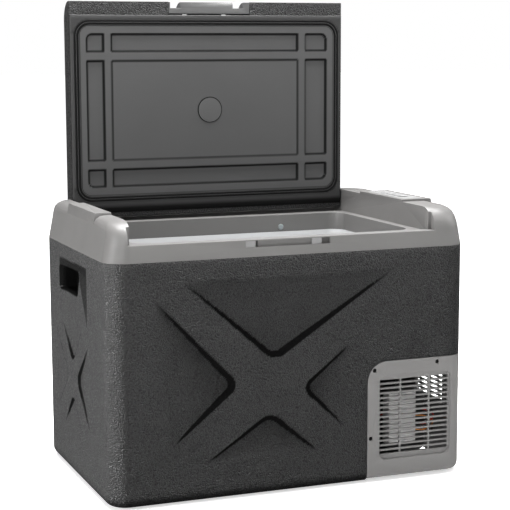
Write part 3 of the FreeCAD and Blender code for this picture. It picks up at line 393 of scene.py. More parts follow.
for side, panels, sunk, mirror in ((FRONT, FRONT_PANELS, FRONT_SUNK, 1.0), (RIGHT, (), 0.0, 1.0),
                                   (BACK, FRONT_PANELS, BACK_SUNK, -1.0),
                                   (LEFT, LEFT_PANELS, LEFT_SUNK, 1.0)):
    patch = np.ix_(wall_rows, np.flatnonzero(side_of == side))
    along = spot_x if side in (FRONT, BACK) else spot_y
    u, v = along[patch], spot_z[patch]
    edge_u, edge_v = u[:, [0, -1]].copy(), v[[0, -1], :].copy()
    reach, faintest = (2.1, 1.3) if side == BACK else (1.3, 0.1)
    if side == FRONT:
        u, v = drawn_to(bay_gap_front, u, v, reach)
        u, v = drawn_to(lambda a, b: bay_gap_front(a, b) - 1.2, u, v, 0.6)
    for panel in panels:
        def rim(a, b):
            """The gap to the panel's two arms."""
            return panel_walls(a * mirror, b, panel, sunk)[0]

        def foot(a, b):
            """The gap to the line where the arms' slopes meet the panel's floor."""
            arm, floor = panel_walls(a * mirror, b, panel, sunk)
            return arm * WALL_SLOPE - floor
        for line, least, near in ((rim, 0.0, reach), (foot, 2.0, 0.8 * reach)):
            deep = panel_walls(u * mirror, v, panel, sunk)[1] > least
            u, v = drawn_to(line, u, v, np.where(deep, near, 0.0))
    depth = np.zeros_like(u)
    for panel in panels:
        arm, floor = panel_walls(u * mirror, v, panel, sunk)
        depth = np.maximum(depth, np.clip(np.minimum(arm * WALL_SLOPE, floor), 0, None))
        # Painted shade on the steep walls of the sunk panels.
        wall = (arm > -0.6) & (arm * WALL_SLOPE < floor + 0.7) & (floor > faintest)
        painted_shade[patch] = np.maximum(painted_shade[patch], wall * np.clip(floor / (0.2 * sunk), 0, 1))
    if side in (RIGHT, LEFT):
        u, v = drawn_to(grip_gap, u, v, reach)
        grip, scooped = grip_gap(u, v), scoop_depth(u, v)
        depth = np.maximum(depth, scooped)
        lip = depth + (GRIP_LIP - depth) * np.clip(grip / 1.5, 0, 1)
        depth = np.where(grip > 0, np.maximum(depth, lip), depth)
        # Painted shade on the grip's front ramp, under its hood and round the hole's edge.
        front_ramp = (scooped < scoop_floor(v) - 0.1) & (scooped > 0.05) & (u < 0.0)
        under_hood = np.clip((HOOD_TOP - 1.0 - v) / 5.0, 0, 1) * (v > GRIP[3]) * (scooped > 0.3)
        shade = np.maximum(np.maximum(front_ramp * 0.7, under_hood * 0.8), grip > -0.4)
        painted_shade[patch] = np.maximum(painted_shade[patch], shade)
        gone[patch] = np.maximum(gone[patch], grip > 1.4)
    if side in (FRONT, RIGHT):
        bay = bay_gap_front(u, v) if side == FRONT else bay_gap_side(u, v)
        depth = np.maximum(depth, BAY_SEAT * np.clip(bay / 1.2, 0, 1))
        gone[patch] = np.maximum(gone[patch], bay > 5.0)
    u[:, [0, -1]] = edge_u
    v[[0, -1], :] = edge_v
    sink[patch], along[patch], spot_z[patch] = depth, u, v
# The front right corner and the base below the bay belong to the vent cover.
corner_columns = np.flatnonzero((side_of == TURN) & (outline[:, 0] > 0) & (outline[:, 1] < 0))
patch = np.ix_(np.flatnonzero(level < BAY_TOP), corner_columns)
sink[patch], gone[patch] = BAY_SEAT, 1.0
base_rows = np.flatnonzero(level < FLOOR + BASE)
under = np.ix_(base_rows, np.flatnonzero(side_of == FRONT))
gone[under] = spot_x[under] > BAY_LEFT + 1.0
under = np.ix_(base_rows, np.flatnonzero(side_of == RIGHT))
gone[under] = spot_y[under] < BAY_REAR - 1.0
spot_x = spot_x - facing[None, :, 0] * sink
spot_y = spot_y - facing[None, :, 1] * sink
# Painted shade along the rounded base, darker towards the bottom.
painted_shade = np.maximum(painted_shade, 0.75 * np.clip((FLOOR + BASE + 2.0 - spot_z) / 10.0, 0, 1))
gone_faces = gone + np.roll(gone, -1, 1)
kept = (gone_faces[:-1] + gone_faces[1:]) < 3.5
shell = laid("outer_shell_moulding", black_pebble, np.stack([spot_x, spot_y, spot_z], -1), closed_across=True,
             kept=kept, slot="shell_plastic", swap="outer_shell")
store_painted_shade(shell, painted_shade)
tidied(shell, 0.005)

# ------------------------ carry grips
# A black injection moulded cup sits behind the hole in each side wall.
# One rib, set back from its mouth, stands across it.


def plain_plastic(name, colour, grain=1.0, depth=0.05, roughness=0.48, cloud=0.08, gloss=0.5, **sockets):
    """A moulded plastic: fine grain, slow clouding of its tone, and a few scuffed paler spots.

    Large and small noise are mixed for the tone; the small one alone gives the height."""
    material, shader, place = new_finish(name, Specular_IOR_Level=gloss, **sockets)
    slow = place.noise(95.0, 3.0).held(0.25, 0.75)
    quick = place.noise(grain, 3.0, 0.65)
    scuffs = place.noise(14.0, 5.0, 0.7).held(0.66, 0.8)
    dark = tuple(part * (1 - cloud) for part in colour[:3]) + (1.0,)
    light = tuple(min(1.0, part * (1 + cloud)) for part in colour[:3]) + (1.0,)
    body = (slow * 0.7 + quick * 0.3).blend(dark, light)
    worn = tuple(min(1.0, part * 1.25 + 0.01) for part in colour[:3]) + (1.0,)
    feed(shader, "Base Color", (scuffs * 0.25).blend(body, worn))
    feed(shader, "Roughness", roughness + quick * 0.1 - slow * 0.05 + scuffs * 0.06)
    feed(shader, "Normal", quick.bumped(depth, 0.6))
    return material


def finished(node, material):
    """Gives a CAD piece its finish through its own material slots."""
    for place in nodes[node].material_slots:
        place.material = material
    return nodes[node]


def eased(node, material, width, body="cabinet", segments=2):
    """A copy of a CAD piece with its facets joined and its sharp edges eased by width millimetres."""
    sharp = math.radians(35.0)
    mesh = nodes[node].data.copy()
    piece = placed(node + "_eased", mesh)
    work = bmesh.new()
    work.from_mesh(mesh)
    bmesh.ops.remove_doubles(work, verts=work.verts, dist=0.01 * MM)
    work.to_mesh(mesh)
    work.free()
    mesh.polygons.foreach_set("use_smooth", np.ones(len(mesh.polygons), bool))
    mesh.set_sharp_from_angle(angle=sharp)
    mesh.materials.clear()
    mesh.materials.append(material)
    ease = piece.modifiers.new("ease", "BEVEL")
    ease.width = width * MM
    ease.segments = segments
    ease.limit_method = "ANGLE"
    ease.angle_limit = sharp
    ease.harden_normals = True
    ease.use_clamp_overlap = True
    ease.miter_outer = "MITER_ARC"
    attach(piece, body)
    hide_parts(node)
    return piece


black_plastic = plain_plastic("black_grained_plastic", grey(13), grain=0.8, roughness=0.5, gloss=0.3)
# The grip cups are coloured near black and matte, as painted shade inside the grip holes.
cup_painted_shade_plastic = plain_plastic("grip_cup_painted_shade", grey(3), grain=0.8, roughness=0.7, gloss=0.08)
for cup in ("handle_cup_left", "handle_cup_right"):
    eased(cup, cup_painted_shade_plastic, 0.5)

# ------------------------ top frame
# A warm grey moulding in fine grained polypropylene: two shoulders and the rim the gasket lands on,
# snapped and screwed down over the shell. Light scuffs gather where hands and the lid touch it.
frame_plastic = plain_plastic("warm_grey_plastic", grey(90, 1), grain=0.7, depth=0.035, roughness=0.42,
                              cloud=0.05)
eased("top_frame", frame_plastic, 1.8, segments=3)
keeper_plastic = plain_plastic("keeper_plastic", grey(114), roughness=0.45)
eased("latch_keepers", keeper_plastic, 0.5)

# ------------------------ liner
# The food room is one vacuum formed tub of white food-safe sheet.
# Its floor steps up on the right, over the machine bay.
# The white tub is coloured mid grey all over, as painted shade inside the food room.
liner_painted_shade_plastic = plain_plastic("white_tub_painted_shade_plastic", grey(168, -1), grain=2.2, depth=0.05, roughness=0.34,
                              cloud=0.025)
eased("inner_liner", liner_painted_shade_plastic, 2.0, segments=3)

# ------------------------ cooling plate and insulation
# Behind the tub a thin rolled aluminium plate carries the copper cold tube, and a probe reads it.
# Rigid foam, poured in place, fills what is left between the tub and the shell, and the lid as well.


def metal(name, colour, roughness, streak=(1.0, 1.0, 1.0), size=6.0, spread=0.14):
    """Bare metal: rolling or drawing streaks in tone and gloss, with a slight tarnish in clouds.

    Noise on stretched coordinates makes the streaks, and wide noise the tarnish."""
    material, shader, place = new_finish(name, Metallic=1.0)
    lines = place.stretched(*streak).noise(size, 4.0, 0.6)
    tarnish = place.noise(45.0, 4.0, 0.6).held(0.42, 0.7)
    dull = tuple(part * (1 - spread * 1.6) for part in colour[:3]) + (1.0,)
    bright = tuple(min(1.0, part * (1 + spread)) for part in colour[:3]) + (1.0,)
    feed(shader, "Base Color", (lines * 0.6 + (1.0 - tarnish) * 0.4).blend(dull, bright))
    feed(shader, "Roughness", roughness + lines * 0.14 + tarnish * 0.12 - 0.07)
    feed(shader, "Normal", lines.bumped(0.02, 0.5))
    return material


aluminium = metal("rolled_aluminium", grey(196), 0.34, streak=(1.0, 1.0, 6.0), size=4.0)
copper = metal("drawn_copper", (0.72, 0.33, 0.2, 1.0), 0.28, size=9.0, spread=0.22)
eased("evaporator_plate", aluminium, 0.3)
eased("evaporator_tube", copper, 1.5, segments=3)


def turned(profile, start, axis, count=48):
    """The grid of a profile of (distance along, radius) pairs carried round an axis from a start.

    A point is the start, plus its distance along the axis, plus its radius on a turned side vector."""
    along, radius = np.array(profile, float).T
    angle = np.linspace(0, 2 * math.pi, count, endpoint=False)
    forward = np.array(axis, float)
    side = np.cross(forward, (0.0, 0.0, 1.0) if abs(forward[2]) < 0.9 else (1.0, 0.0, 0.0))
    side /= np.hypot(*side[:2]) if abs(side[2]) < 1e-9 else np.linalg.norm(side)
    up = np.cross(forward, side)
    ring = np.cos(angle)[:, None] * side + np.sin(angle)[:, None] * up
    return np.array(start, float) + along[:, None, None] * forward + radius[:, None, None] * ring[None]


def turned_piece(name, material, profile, start, axis, count=48, **facts):
    """A solid turned from a profile that runs either way, each end closed by one flat face."""
    ordered = profile[::-1] if sum(np.diff([spot[0] for spot in profile])) < 0 else profile
    grid = turned(ordered, start, axis, count)
    return laid(name, material, grid, closed_across=True, lids=((0, True), (len(ordered) - 1, False)),
                **facts)


def arc(centre, radius, start, end, steps):
    """(along, out) pairs round part of a circle, in degrees from the axis."""
    angle = np.radians(np.linspace(start, end, steps))
    return [(centre[0] + radius * float(math.cos(a)), centre[1] + radius * float(math.sin(a))) for a in angle]


probe = [(0, 0.5), (0, 2.0), *arc((1.0, 2.0), 1.0, 180, 90, 4), (28, 3.0), (29, 2.4), (36, 2.4),
         (40, 1.6), (40, 0.5)]
turned_piece("temperature_probe", black_plastic, probe, (20, 149, 386), (1, 0, 0), 24, slot="black_plastic",
             swap="temperature_sensor")
foam_finish, foam_shader, foam_place = new_finish("poured_foam", Specular_IOR_Level=0.2, Roughness=0.9)
foam_cells = foam_place.node("TexVoronoi", {}, {"Vector": foam_place, "Scale": 900.0})
feed(foam_shader, "Base Color", (foam_place.noise(20.0) * 0.6 + foam_cells * 0.4).blend(
    (0.62, 0.47, 0.2, 1.0), (0.86, 0.74, 0.42, 1.0)))
feed(foam_shader, "Normal", foam_cells.bumped(0.3, 0.7))
for node in ("insulation_foam", "lid_foam"):
    finished(node, foam_finish)

# ------------------------ machine bay
# A folded galvanised partition keeps the foam out of the bay, and a steel tray carries the machinery.
# The compressor is an enamelled pressed can on rubber grommets; beside it stand its driver in a pale
# case, the finned condenser and the fan, joined by brazed copper pipes.
zinc, zinc_shader, zinc_place = new_finish("galvanised_steel", Metallic=1.0)
spangle = zinc_place.node("TexVoronoi", {"feature": "F1"}, {"Vector": zinc_place, "Scale": 130.0}, out=1)
spangle_tone = spangle.node("SeparateColor", {}, {0: spangle})
feed(zinc_shader, "Base Color", spangle_tone.blend(grey(118), grey(172)))
feed(zinc_shader, "Roughness", 0.36 + spangle_tone * 0.18)
eased("machine_bay_partition", zinc, 0.4)
eased("machine_tray", zinc, 0.4)


def round_cornered(points, radius, steps=7):
    """Points along runs between corner points, each corner taken by a quadratic curve of about radius."""
    spots = np.array(points, float)
    middle, before, after = spots[1:-1], spots[:-2], spots[2:]
    to_before, to_after = before - middle, after - middle
    long_before = np.linalg.norm(to_before, axis=1, keepdims=True)
    long_after = np.linalg.norm(to_after, axis=1, keepdims=True)
    reach = np.minimum(radius, np.minimum(long_before, long_after) * 0.49)
    first = middle + to_before / long_before * reach
    last = middle + to_after / long_after * reach
    t = np.linspace(0, 1, steps)[None, :, None]
    curve = (1 - t) ** 2 * first[:, None] + 2 * t * (1 - t) * middle[:, None] + t ** 2 * last[:, None]
    return np.concatenate([spots[:1], curve.reshape(-1, 3), spots[-1:]])


def tube_grid(path, radius, count=14):
    """Rings of count points round a path; radius is one number or one for each point of the path."""
    tangent = np.gradient(path, axis=0)
    tangent /= np.linalg.norm(tangent, axis=1, keepdims=True)
    side = np.cross(tangent, np.array((0.29, 0.51, 0.81)))
    side /= np.linalg.norm(side, axis=1, keepdims=True)
    up = np.cross(tangent, side)
    angle = np.linspace(0, 2 * math.pi, count, endpoint=False)
    size = np.broadcast_to(np.asarray(radius, float), (len(path),))[:, None, None]
    ring = np.cos(angle)[None, :, None] * side[:, None] + np.sin(angle)[None, :, None] * up[:, None]
    return path[:, None] + size * ring


def tube_piece(name, material, path, radius, count=14, **facts):
    """A round tube along a path with flat ends."""
    return laid(name, material, tube_grid(path, radius, count), closed_across=True,
                lids=((0, True), (len(path) - 1, False)), **facts)


def mottled(name, size, dark, light, dull, gain, detail=3.0, depth=0.0, strength=0.5, **sockets):
    """One noise, its lumps size millimetres wide, mixes two tones and moves the gloss and the height."""
    material, shader, place = new_finish(name, **sockets)
    skin = place.noise(size, detail)
    feed(shader, "Base Color", skin.blend(dark, light))
    feed(shader, "Roughness", dull + skin * gain)
    if depth:
        feed(shader, "Normal", skin.bumped(depth, strength))
    return material


enamel = mottled("black_enamel_steel", 7.0, grey(20), grey(34), 0.24, 0.16, depth=0.12, Coat_Weight=0.6,
                 Coat_Roughness=0.12, Specular_IOR_Level=0.6)
CAN_FOOT = (262, -105, 27.5)
crown_turn = np.radians((10, 25, 40, 55, 70, 85))
can = [(0, 2.0), (0, 30.0), *arc((12.0, 40.0), 12.0, 180, 90, 5)[1:], (14.0, 52.0), (56, 52.0),
       (57.2, 54.0), (60.0, 54.6), (62.8, 54.0), (64, 51.6), (96, 51.6),
       *arc((96.0, 33.6), 18.0, 90, 30, 7)[1:],
       *[(112.0 + 6.0 * float(math.sin(a)), 42.0 * float(math.cos(a))) for a in crown_turn]]
turned_piece("compressor_can", enamel, can, CAN_FOOT, (0, 0, 1), 72, slot="black_steel", swap="compressor")
# Its four legs are one pressed plate: each ring's reach swells four times round the middle.
LEGS_MIDDLE = (250, -105)
leg_turn = np.linspace(0, 2 * math.pi, 48, endpoint=False)
leg_reach = 30.0 + 26.0 * np.abs(np.sin(2 * leg_turn)) ** 1.5
leg_ring = np.stack([LEGS_MIDDLE[0] + leg_reach * np.cos(leg_turn),
                     LEGS_MIDDLE[1] + leg_reach * np.sin(leg_turn)], -1)
leg_rings = ((0.2, 21.2), (0.98, 21.2), (1.0, 21.8), (1.0, 24.2), (0.98, 24.8), (0.2, 24.8))
leg_grid = np.stack([np.concatenate([(leg_ring - LEGS_MIDDLE) * scale + LEGS_MIDDLE, np.full((48, 1), z)], 1)
                     for scale, z in leg_rings])
laid("compressor_legs", enamel, leg_grid, closed_across=True, lids=((0, True), (5, False)),
     slot="black_steel")
eased("compressor_terminal_cover", black_plastic, 2.0, segments=3)
rubber = mottled("black_rubber", 1.1, grey(4), grey(12), 0.6, 0.2, depth=0.06, strength=0.6,
                 Specular_IOR_Level=0.12)
for number, (x, y) in enumerate(((211, -141), (211, -69), (289, -141), (289, -69))):
    turned_piece("compressor_grommet_%d" % number, rubber,
                 [(0, 3.2), (0, 7.2), (0.8, 8.0), (3.4, 8.0), (4.4, 6.4), (8.0, 6.4), (9.0, 8.0), (11.8, 8.0),
                  (12.5, 7.2), (12.5, 3.2)], (x, y, 8.6), (0, 0, 1), 24, slot="rubber",
                 swap="compressor_grommets" if number == 0 else None)
module_plastic = plain_plastic("pale_grey_case", grey(178, 1), grain=1.4, roughness=0.4)
eased("control_module", module_plastic, 1.5, segments=3)
eased("module_heat_sink", aluminium, 0.25)
finished("condenser_fins", aluminium)
eased("condenser_tube", copper, 0.8)
eased("fan_shroud", black_plastic, 0.6)

# The fan is one black moulding: seven curved blades swept forward on a domed hub, on a steel axle.
FAN = np.array((240.0, 131.0, 110.0))
BLADES, BLADE_ROOT, BLADE_LENGTH, BLADE_WALL = 7, 18.6, 38.6, 1.6
hub = [(-9, 3.1), (-9, 16.0), *arc((-5.0, 15.5), 4.0, 180, 90, 6)[1:], (9, 19.6), (9, 3.1)]
turned_piece("fan_hub", black_plastic, hub, FAN, (0, 1, 0), 48, body="fan", slot="black_plastic",
             swap="fan_rotor")
# A blade's width is laid across its swept middle line, its pitch flattening towards the tip.
across, out = np.meshgrid(np.linspace(-0.5, 0.5, 9), np.linspace(0, 1, 12))
radius = BLADE_ROOT + BLADE_LENGTH * out
pitch = np.radians(52 - 22 * out)
width = 25.0 + 10.0 * np.sin(out * math.pi * 0.8)
depth = across * width * np.sin(pitch) * 0.62 + 1.6 * (0.25 - across ** 2)
for number in range(BLADES):
    sweep = 2 * math.pi * number / BLADES + 0.28 * out ** 1.6
    round_fan = sweep + across * width * np.cos(pitch) / radius
    grid = np.stack([FAN[0] + radius * np.cos(round_fan), FAN[1] + depth,
                     FAN[2] + radius * np.sin(round_fan)], -1)
    blade = laid("fan_blade_%d" % number, black_plastic, grid, body="fan", slot="black_plastic")
    wall = blade.modifiers.new("wall", "SOLIDIFY")
    wall.thickness = BLADE_WALL * MM
    wall.offset = 0.0
bright_steel = metal("turned_steel", grey(200), 0.24, size=3.0, spread=0.08)
axle = [(0, 0.4), (0, 2.4), (0.5, 2.9), (25.4, 2.9), (25.9, 2.4), (25.9, 0.4)]
turned_piece("fan_axle", bright_steel, axle, (240, 122.1, 110), (0, 1, 0), 24, body="fan",
             slot="bright_steel")

# Drawn copper runs from the can to the condenser through the drier and on to the cold plate.
turned_piece("filter_drier_bottle", copper,
             [(0, 0.4), (0, 2.6), (8, 2.9), (11, 4.2), (14, 8.2), (18, 9.0), (22, 9.0), (23, 8.5), (24, 9.0),
              (90, 9.0), (91, 8.5), (92, 9.0), (98, 9.0), (102, 8.2), (106, 4.0), (110, 2.9), (113.5, 2.6),
              (113.5, 0.4)], (160, 60, 48.3), (0, 0, 1), 32, slot="copper_tube", swap="filter_drier")
suction = [(262, -52.6, 120), (262, -20, 120), (262, -20, 205), (300, 40, 205)]
discharge = [(294, -54, 80), (318, -20, 80), (318, 60, 60), (318, 152, 60), (312, 178, 50), (302.5, 178, 50)]
liquid = [(160, 60, 162), (160, 60, 200), (160, -140, 200)]
for name, points, radius, swap in (("suction_pipe", suction, 3.0, "copper_pipes"),
                                   ("discharge_pipe", discharge, 3.0, None),
                                   ("liquid_pipe", liquid, 2.5, None)):
    tube_piece(name, copper, round_cornered(points, 14.0), radius, slot="copper_tube", swap=swap)

# Wires leave the driver in one ribbed sleeve that climbs to the control board.
sleeve = mottled("ribbed_sleeve", 3.0, grey(18), grey(32), 0.42, 0.16, detail=2.0, Specular_IOR_Level=0.45)
route = round_cornered([(215, -186, 159.2), (215, -186, 214), (318, -60, 214), (318, 120, 214),
                        (318, 120, 470), (300, 50, 482)], 16.0)
lengths = np.concatenate([[0], np.cumsum(np.linalg.norm(np.diff(route, axis=0), axis=1))])
even = np.arange(0, lengths[-1], 1.4)
route = np.stack([np.interp(even, lengths, route[:, axis]) for axis in range(3)], -1)
RIB_PITCH = 4.2
ribbed = 3.1 + 0.4 * np.sin(even * 2 * math.pi / RIB_PITCH)
tube_piece("wiring_sleeve", sleeve, route, ribbed, 12, slot="cable", swap="wiring_loom")
WIRES = (((0.5, 0.03, 0.02, 1), 26), ((0.62, 0.22, 0.04, 1), 14), ((0.02, 0.02, 0.02, 1), 2))
for number, (colour, rise) in enumerate(WIRES):
    wire = plain_plastic("wire_sheath_%d" % number, colour, roughness=0.4)
    loop = round_cornered([(200, -125.5, 72 + rise), (218, -152, 84 + rise), (282, -172, 92 + rise),
                           (306, -178 + 3 * number, 78 + rise), (280, -188, 66 + rise),
                           (252.4, -188, 70 + rise)], 24.0, 12)
    tube_piece("bay_wire_%d" % number, wire, loop, 1.4, 8, slot="cable")

# ------------------------ feet and power inlets
# Four round rubber pads are stuck under the floor at its corners.
# A round DC and a flat AC socket, black mouldings, go through the right wall behind the cover.
pad = [(0, 0.5), (0, 16.8), (0.6, 17.8), (2.2, 19.6), (3.0, 19.9), (3.0, 0.5)]
for number, (x, y) in enumerate(((-285, -165), (-285, 165), (285, -165), (285, 165))):
    turned_piece("foot_%d" % number, rubber, pad, (x, y, 0), (0, 0, 1), 40, slot="rubber",
                 swap="feet" if number == 0 else None)
for inlet in ("dc_inlet", "ac_inlet"):
    eased(inlet, black_plastic, 0.4)

# ------------------------ vent cover
# One corner panel in the frame's grey plastic closes the machine bay and carries its louvres.
# Six blackened cross-head screws in shallow wells hold it to the front and right walls.
cover_plastic = plain_plastic("cover_grey_plastic", grey(94, 1), grain=0.8, depth=0.035, roughness=0.44,
                              cloud=0.05)
eased("vent_cover", cover_plastic, 0.55)
screw_steel = metal("blackened_steel", grey(46), 0.42, size=2.0)
SCREW_SPOTS = [((x, -221, z), (0, 1, 0)) for x, z in ((156, 210), (284, 217), (149, 83.5))]
SCREW_SPOTS += [((345, y, z), (-1, 0, 0)) for y, z in ((-110, 212), (108, 212), (108, 60))]
# A head's profile runs from its rim over the crown and down into the recess; the last rows sink
# further where they cross the four arms.
screw = [(9.8, 0.2), (9.0, 1.7), (3.0, 1.8), (3.0, 3.7), (1.9, 3.85), (1.5, 3.4), (1.25, 2.6), (1.2, 1.9),
         (1.2, 1.3), (1.2, 0.7), (1.2, 0.05)]
arm_depth = np.array([0, 0, 0, 0, 0, 0, 0.2, 1.0, 1.2, 1.3, 1.3])
arms = np.abs(np.sin(2 * np.linspace(0, 2 * math.pi, 48, endpoint=False))) < 0.45
for number, (spot, inward) in enumerate(SCREW_SPOTS):
    grid = turned(screw, spot, inward, 48)
    grid += (arm_depth[:, None] * arms[None, :])[..., None] * np.array(inward)
    laid("cover_screw_%d" % number, screw_steel, grid[::-1], closed_across=True,
         lids=((0, True), (len(screw) - 1, False)), slot="black_steel",
         swap="vent_cover_screws" if number == 0 else None)

# ------------------------ controls
# A paler grey strip let into the right shoulder holds a smoked display window and four soft keys.
# The keys are rubber caps over the switches of one circuit board.
strip_plastic = plain_plastic("key_strip_plastic", grey(122), grain=0.6, roughness=0.34)
eased("control_panel", strip_plastic, 0.3)
smoked = mottled("smoked_window", 6.0, grey(10, -1), grey(16, -2), 0.08, 0.06, detail=2.0, Coat_Weight=1.0,
                 Coat_Roughness=0.03, Specular_IOR_Level=0.6)
eased("display_window", smoked, 0.3)
key_rubber = plain_plastic("soft_key_rubber", grey(112), grain=0.6, roughness=0.6)
for key in ("power", "set", "up", "down"):
    eased("button_" + key, key_rubber, 0.5, body=key + "_key", segments=3)
board, board_shader, board_place = new_finish("green_board", Specular_IOR_Level=0.5)
tracks = board_place.stretched(1.0, 4.0, 1.0).noise(2.4, 1.0).held(0.48, 0.52)
feed(board_shader, "Base Color", tracks.blend((0.01, 0.09, 0.035, 1.0), (0.03, 0.2, 0.07, 1.0)))
feed(board_shader, "Roughness", 0.3 + tracks * 0.15)
eased("control_board", board, 0.15)

# ------------------------ lamp
# A round lens of frosted plastic snaps into the frame's rear skirt.
# Its small black housing is behind it, in the foam.
frosted = mottled("frosted_lens", 0.8, grey(112), grey(136), 0.3, 0.2, Specular_IOR_Level=0.5,
                  Subsurface_Weight=0.3)
turned_piece("lamp_dome", frosted, [(3.5, 0.3), (3.5, 5.75), (0.9, 5.75), (0.4, 5.3), (0.1, 3.6), (0.0, 0.3)],
             (120, 139.5, 435.5), (0, 1, 0), 40, slot="lens", swap="lamp_lens")
eased("lamp_housing", black_plastic, 0.5)

# ------------------------ lid
# The lid is a pebbled black pan with a smooth charcoal panel snapped into its mouth, foam between.
# It turns on two steel pins in the frame. Eight shallow pockets and a tray are moulded in the panel.
finished("hinge_pins", bright_steel)
lid_pebble = pebble_plastic("lid_pebble_plastic", grey(27), 2.8, 0.8)
eased("lid_outer_shell", lid_pebble, 1.6, body="lid", segments=3)
panel_plastic = plain_plastic("charcoal_panel_plastic", grey(61), grain=1.1, depth=0.05, roughness=0.4,
                              cloud=0.07)
# Painted shade along the pockets' creases, the gasket and the panel's lower edge.
shadowed(panel_plastic, 0.92)
# The panel and its pockets, as (left, right, low, high); the panel's face stands at FACE.
PANEL = (-298.5, 266.5, 476.0, 856.5)
FACE = 173.5
POCKET_COLUMNS = ((-267.6, -232.5), (-218.0, 171.0), (186.8, 233.5))
POCKET_ROWS = ((525.5, 560.0), (577.0, 769.5), (786.0, 821.0))
POCKET_DEPTH, POCKET_SLOPE = 4.0, 2.2
FIELD = (POCKET_COLUMNS[0][0], POCKET_COLUMNS[2][1], POCKET_ROWS[0][0], POCKET_ROWS[2][1])
FIELD_ROUND = 13.0
TRAY = (*POCKET_COLUMNS[1], *POCKET_ROWS[1])
TRAY_DEPTH, TRAY_SLOPE = 0.8, 1.8
SMALL_ROUND = 2.0
POCKETS = [(*across, *up) for across in POCKET_COLUMNS for up in POCKET_ROWS if (*across, *up) != TRAY]
# The gasket's outer edge: left, right, low and high, and the radius of its corners.
GASKET_LEFT, GASKET_RIGHT, GASKET_LOW, GASKET_HIGH, GASKET_TURN = -292.5, 260.5, 498.0, 848.0, 32.0


def pocket_gap(u, v, box):
    """How far inside a pocket a point is; a corner shared with the whole field of pockets is rounder."""
    return np.minimum(hole_gap(u, v, box, SMALL_ROUND), hole_gap(u, v, FIELD, FIELD_ROUND))


def tray_gap(u, v, box):
    """How far inside the tray a point is."""
    return hole_gap(u, v, box, SMALL_ROUND)


panel_x = lines_of(PANEL[0] + 0.8, PANEL[1] - 0.8, [(-292, -205), (160, 262)], 7.0, 2.3)
panel_z = lines_of(PANEL[2] + 0.8, PANEL[3] - 0.8, [(492, 590), (756, 850)], 7.0, 2.3)
drop_x = np.concatenate([[3.4, 0.8], 0 * panel_x, [0.8, 3.4]])
drop_z = np.concatenate([[3.4, 0.8], 0 * panel_z, [0.8, 3.4]])
u, v = np.meshgrid(np.concatenate([[PANEL[0]] * 2, panel_x, [PANEL[1]] * 2]),
                   np.concatenate([[PANEL[2]] * 2, panel_z, [PANEL[3]] * 2]))
inner = np.minimum(np.minimum(u - PANEL[0], PANEL[1] - u), np.minimum(v - PANEL[2], PANEL[3] - v)) > 3.0
# Each hollow: its gap, outline, the width of its slope, its depth, and the width, middle and strength of the
# painted shade along its crease.
HOLLOWS = [(pocket_gap, box, POCKET_SLOPE, POCKET_DEPTH, 2.6, 1.1, 1.0) for box in POCKETS]
HOLLOWS.append((tray_gap, TRAY, TRAY_SLOPE, TRAY_DEPTH, 2.2, 0.9, 0.8))
for gap_of, box, slope, *_ in HOLLOWS:
    u, v = drawn_to(lambda a, b: gap_of(a, b, box), u, v, np.where(inner, 1.2, 0.0))
    u, v = drawn_to(lambda a, b: gap_of(a, b, box) - slope, u, v, np.where(inner, 0.9, 0.0))
depth, panel_painted_shade = np.zeros_like(u), np.zeros_like(u)
for gap_of, box, slope, full, crease, middle, shade in HOLLOWS:
    gap = gap_of(u, v, box)
    depth = np.maximum(depth, full * np.clip(gap / slope, 0, 1))
    panel_painted_shade = np.maximum(panel_painted_shade, shade * np.clip(crease - np.abs(gap - middle), 0, 1))
# Painted shade lies along both edges of the gasket, outside it and along the panel's lower edge.
ring = hole_gap(u, v, (GASKET_LEFT, GASKET_RIGHT, GASKET_LOW, GASKET_HIGH), GASKET_TURN)
for edge in (-0.6, 11.4):
    panel_painted_shade = np.maximum(panel_painted_shade, 0.8 * np.clip(1.6 - np.abs(ring - edge), 0, 1))
panel_painted_shade = np.maximum(panel_painted_shade, 0.5 * np.clip(-1.0 - ring, 0, 1))
panel_painted_shade = np.maximum(panel_painted_shade, 0.75 * (v < 488.0) + 0.25 * (v < 497.0))
panel_y = FACE + np.maximum(drop_x[None, :], drop_z[:, None]) + depth
panel = laid("lid_panel_moulding", panel_plastic, np.stack([u, panel_y, v], -1), body="lid",
             slot="panel_plastic", swap="lid_inner_panel")
store_painted_shade(panel, panel_painted_shade)

# The gasket is an extruded rubber bellows pressed into a groove round the panel, its corners welded.
bend = np.radians(np.linspace(0, 90, 14))
path, out_way = [], []
for (cx, cz), start in (((GASKET_RIGHT - GASKET_TURN, GASKET_HIGH - GASKET_TURN), 0),
                        ((GASKET_LEFT + GASKET_TURN, GASKET_HIGH - GASKET_TURN), 90),
                        ((GASKET_LEFT + GASKET_TURN, GASKET_LOW + GASKET_TURN), 180),
                        ((GASKET_RIGHT - GASKET_TURN, GASKET_LOW + GASKET_TURN), 270)):
    way = np.stack([np.cos(bend + math.radians(start)), np.sin(bend + math.radians(start))], 1)
    path.append(np.array((cx, cz)) + GASKET_TURN * way)
    out_way.append(way)
path, out_way = np.concatenate(path), np.concatenate(out_way)
# Its section, as (inward from the outer edge, forward from the panel): a foot, two lips and a groove.
SECTION = np.array([(0.3, 2.0), (0.0, 1.0), (0.2, 0.2), (0.9, -0.5), (2.2, -1.0), (3.4, -1.1), (4.4, -0.7),
                    (5.0, 0.3), (5.6, 0.35), (6.2, -0.6), (7.2, -1.15), (8.6, -1.1), (9.8, -0.5), (10.4, 0.3),
                    (10.6, 1.1), (10.3, 2.0)])[::-1]
ring_x = path[:, None, 0] - out_way[:, None, 0] * SECTION[None, :, 0]
ring_z = path[:, None, 1] - out_way[:, None, 1] * SECTION[None, :, 0]
ring_y = np.broadcast_to(173.45 + SECTION[None, :, 1], ring_x.shape)
laid("gasket_bellows", rubber, np.stack([ring_x, ring_y, ring_z], -1), closed_across=True, closed_along=True,
     body="lid", slot="rubber", swap="lid_gasket")

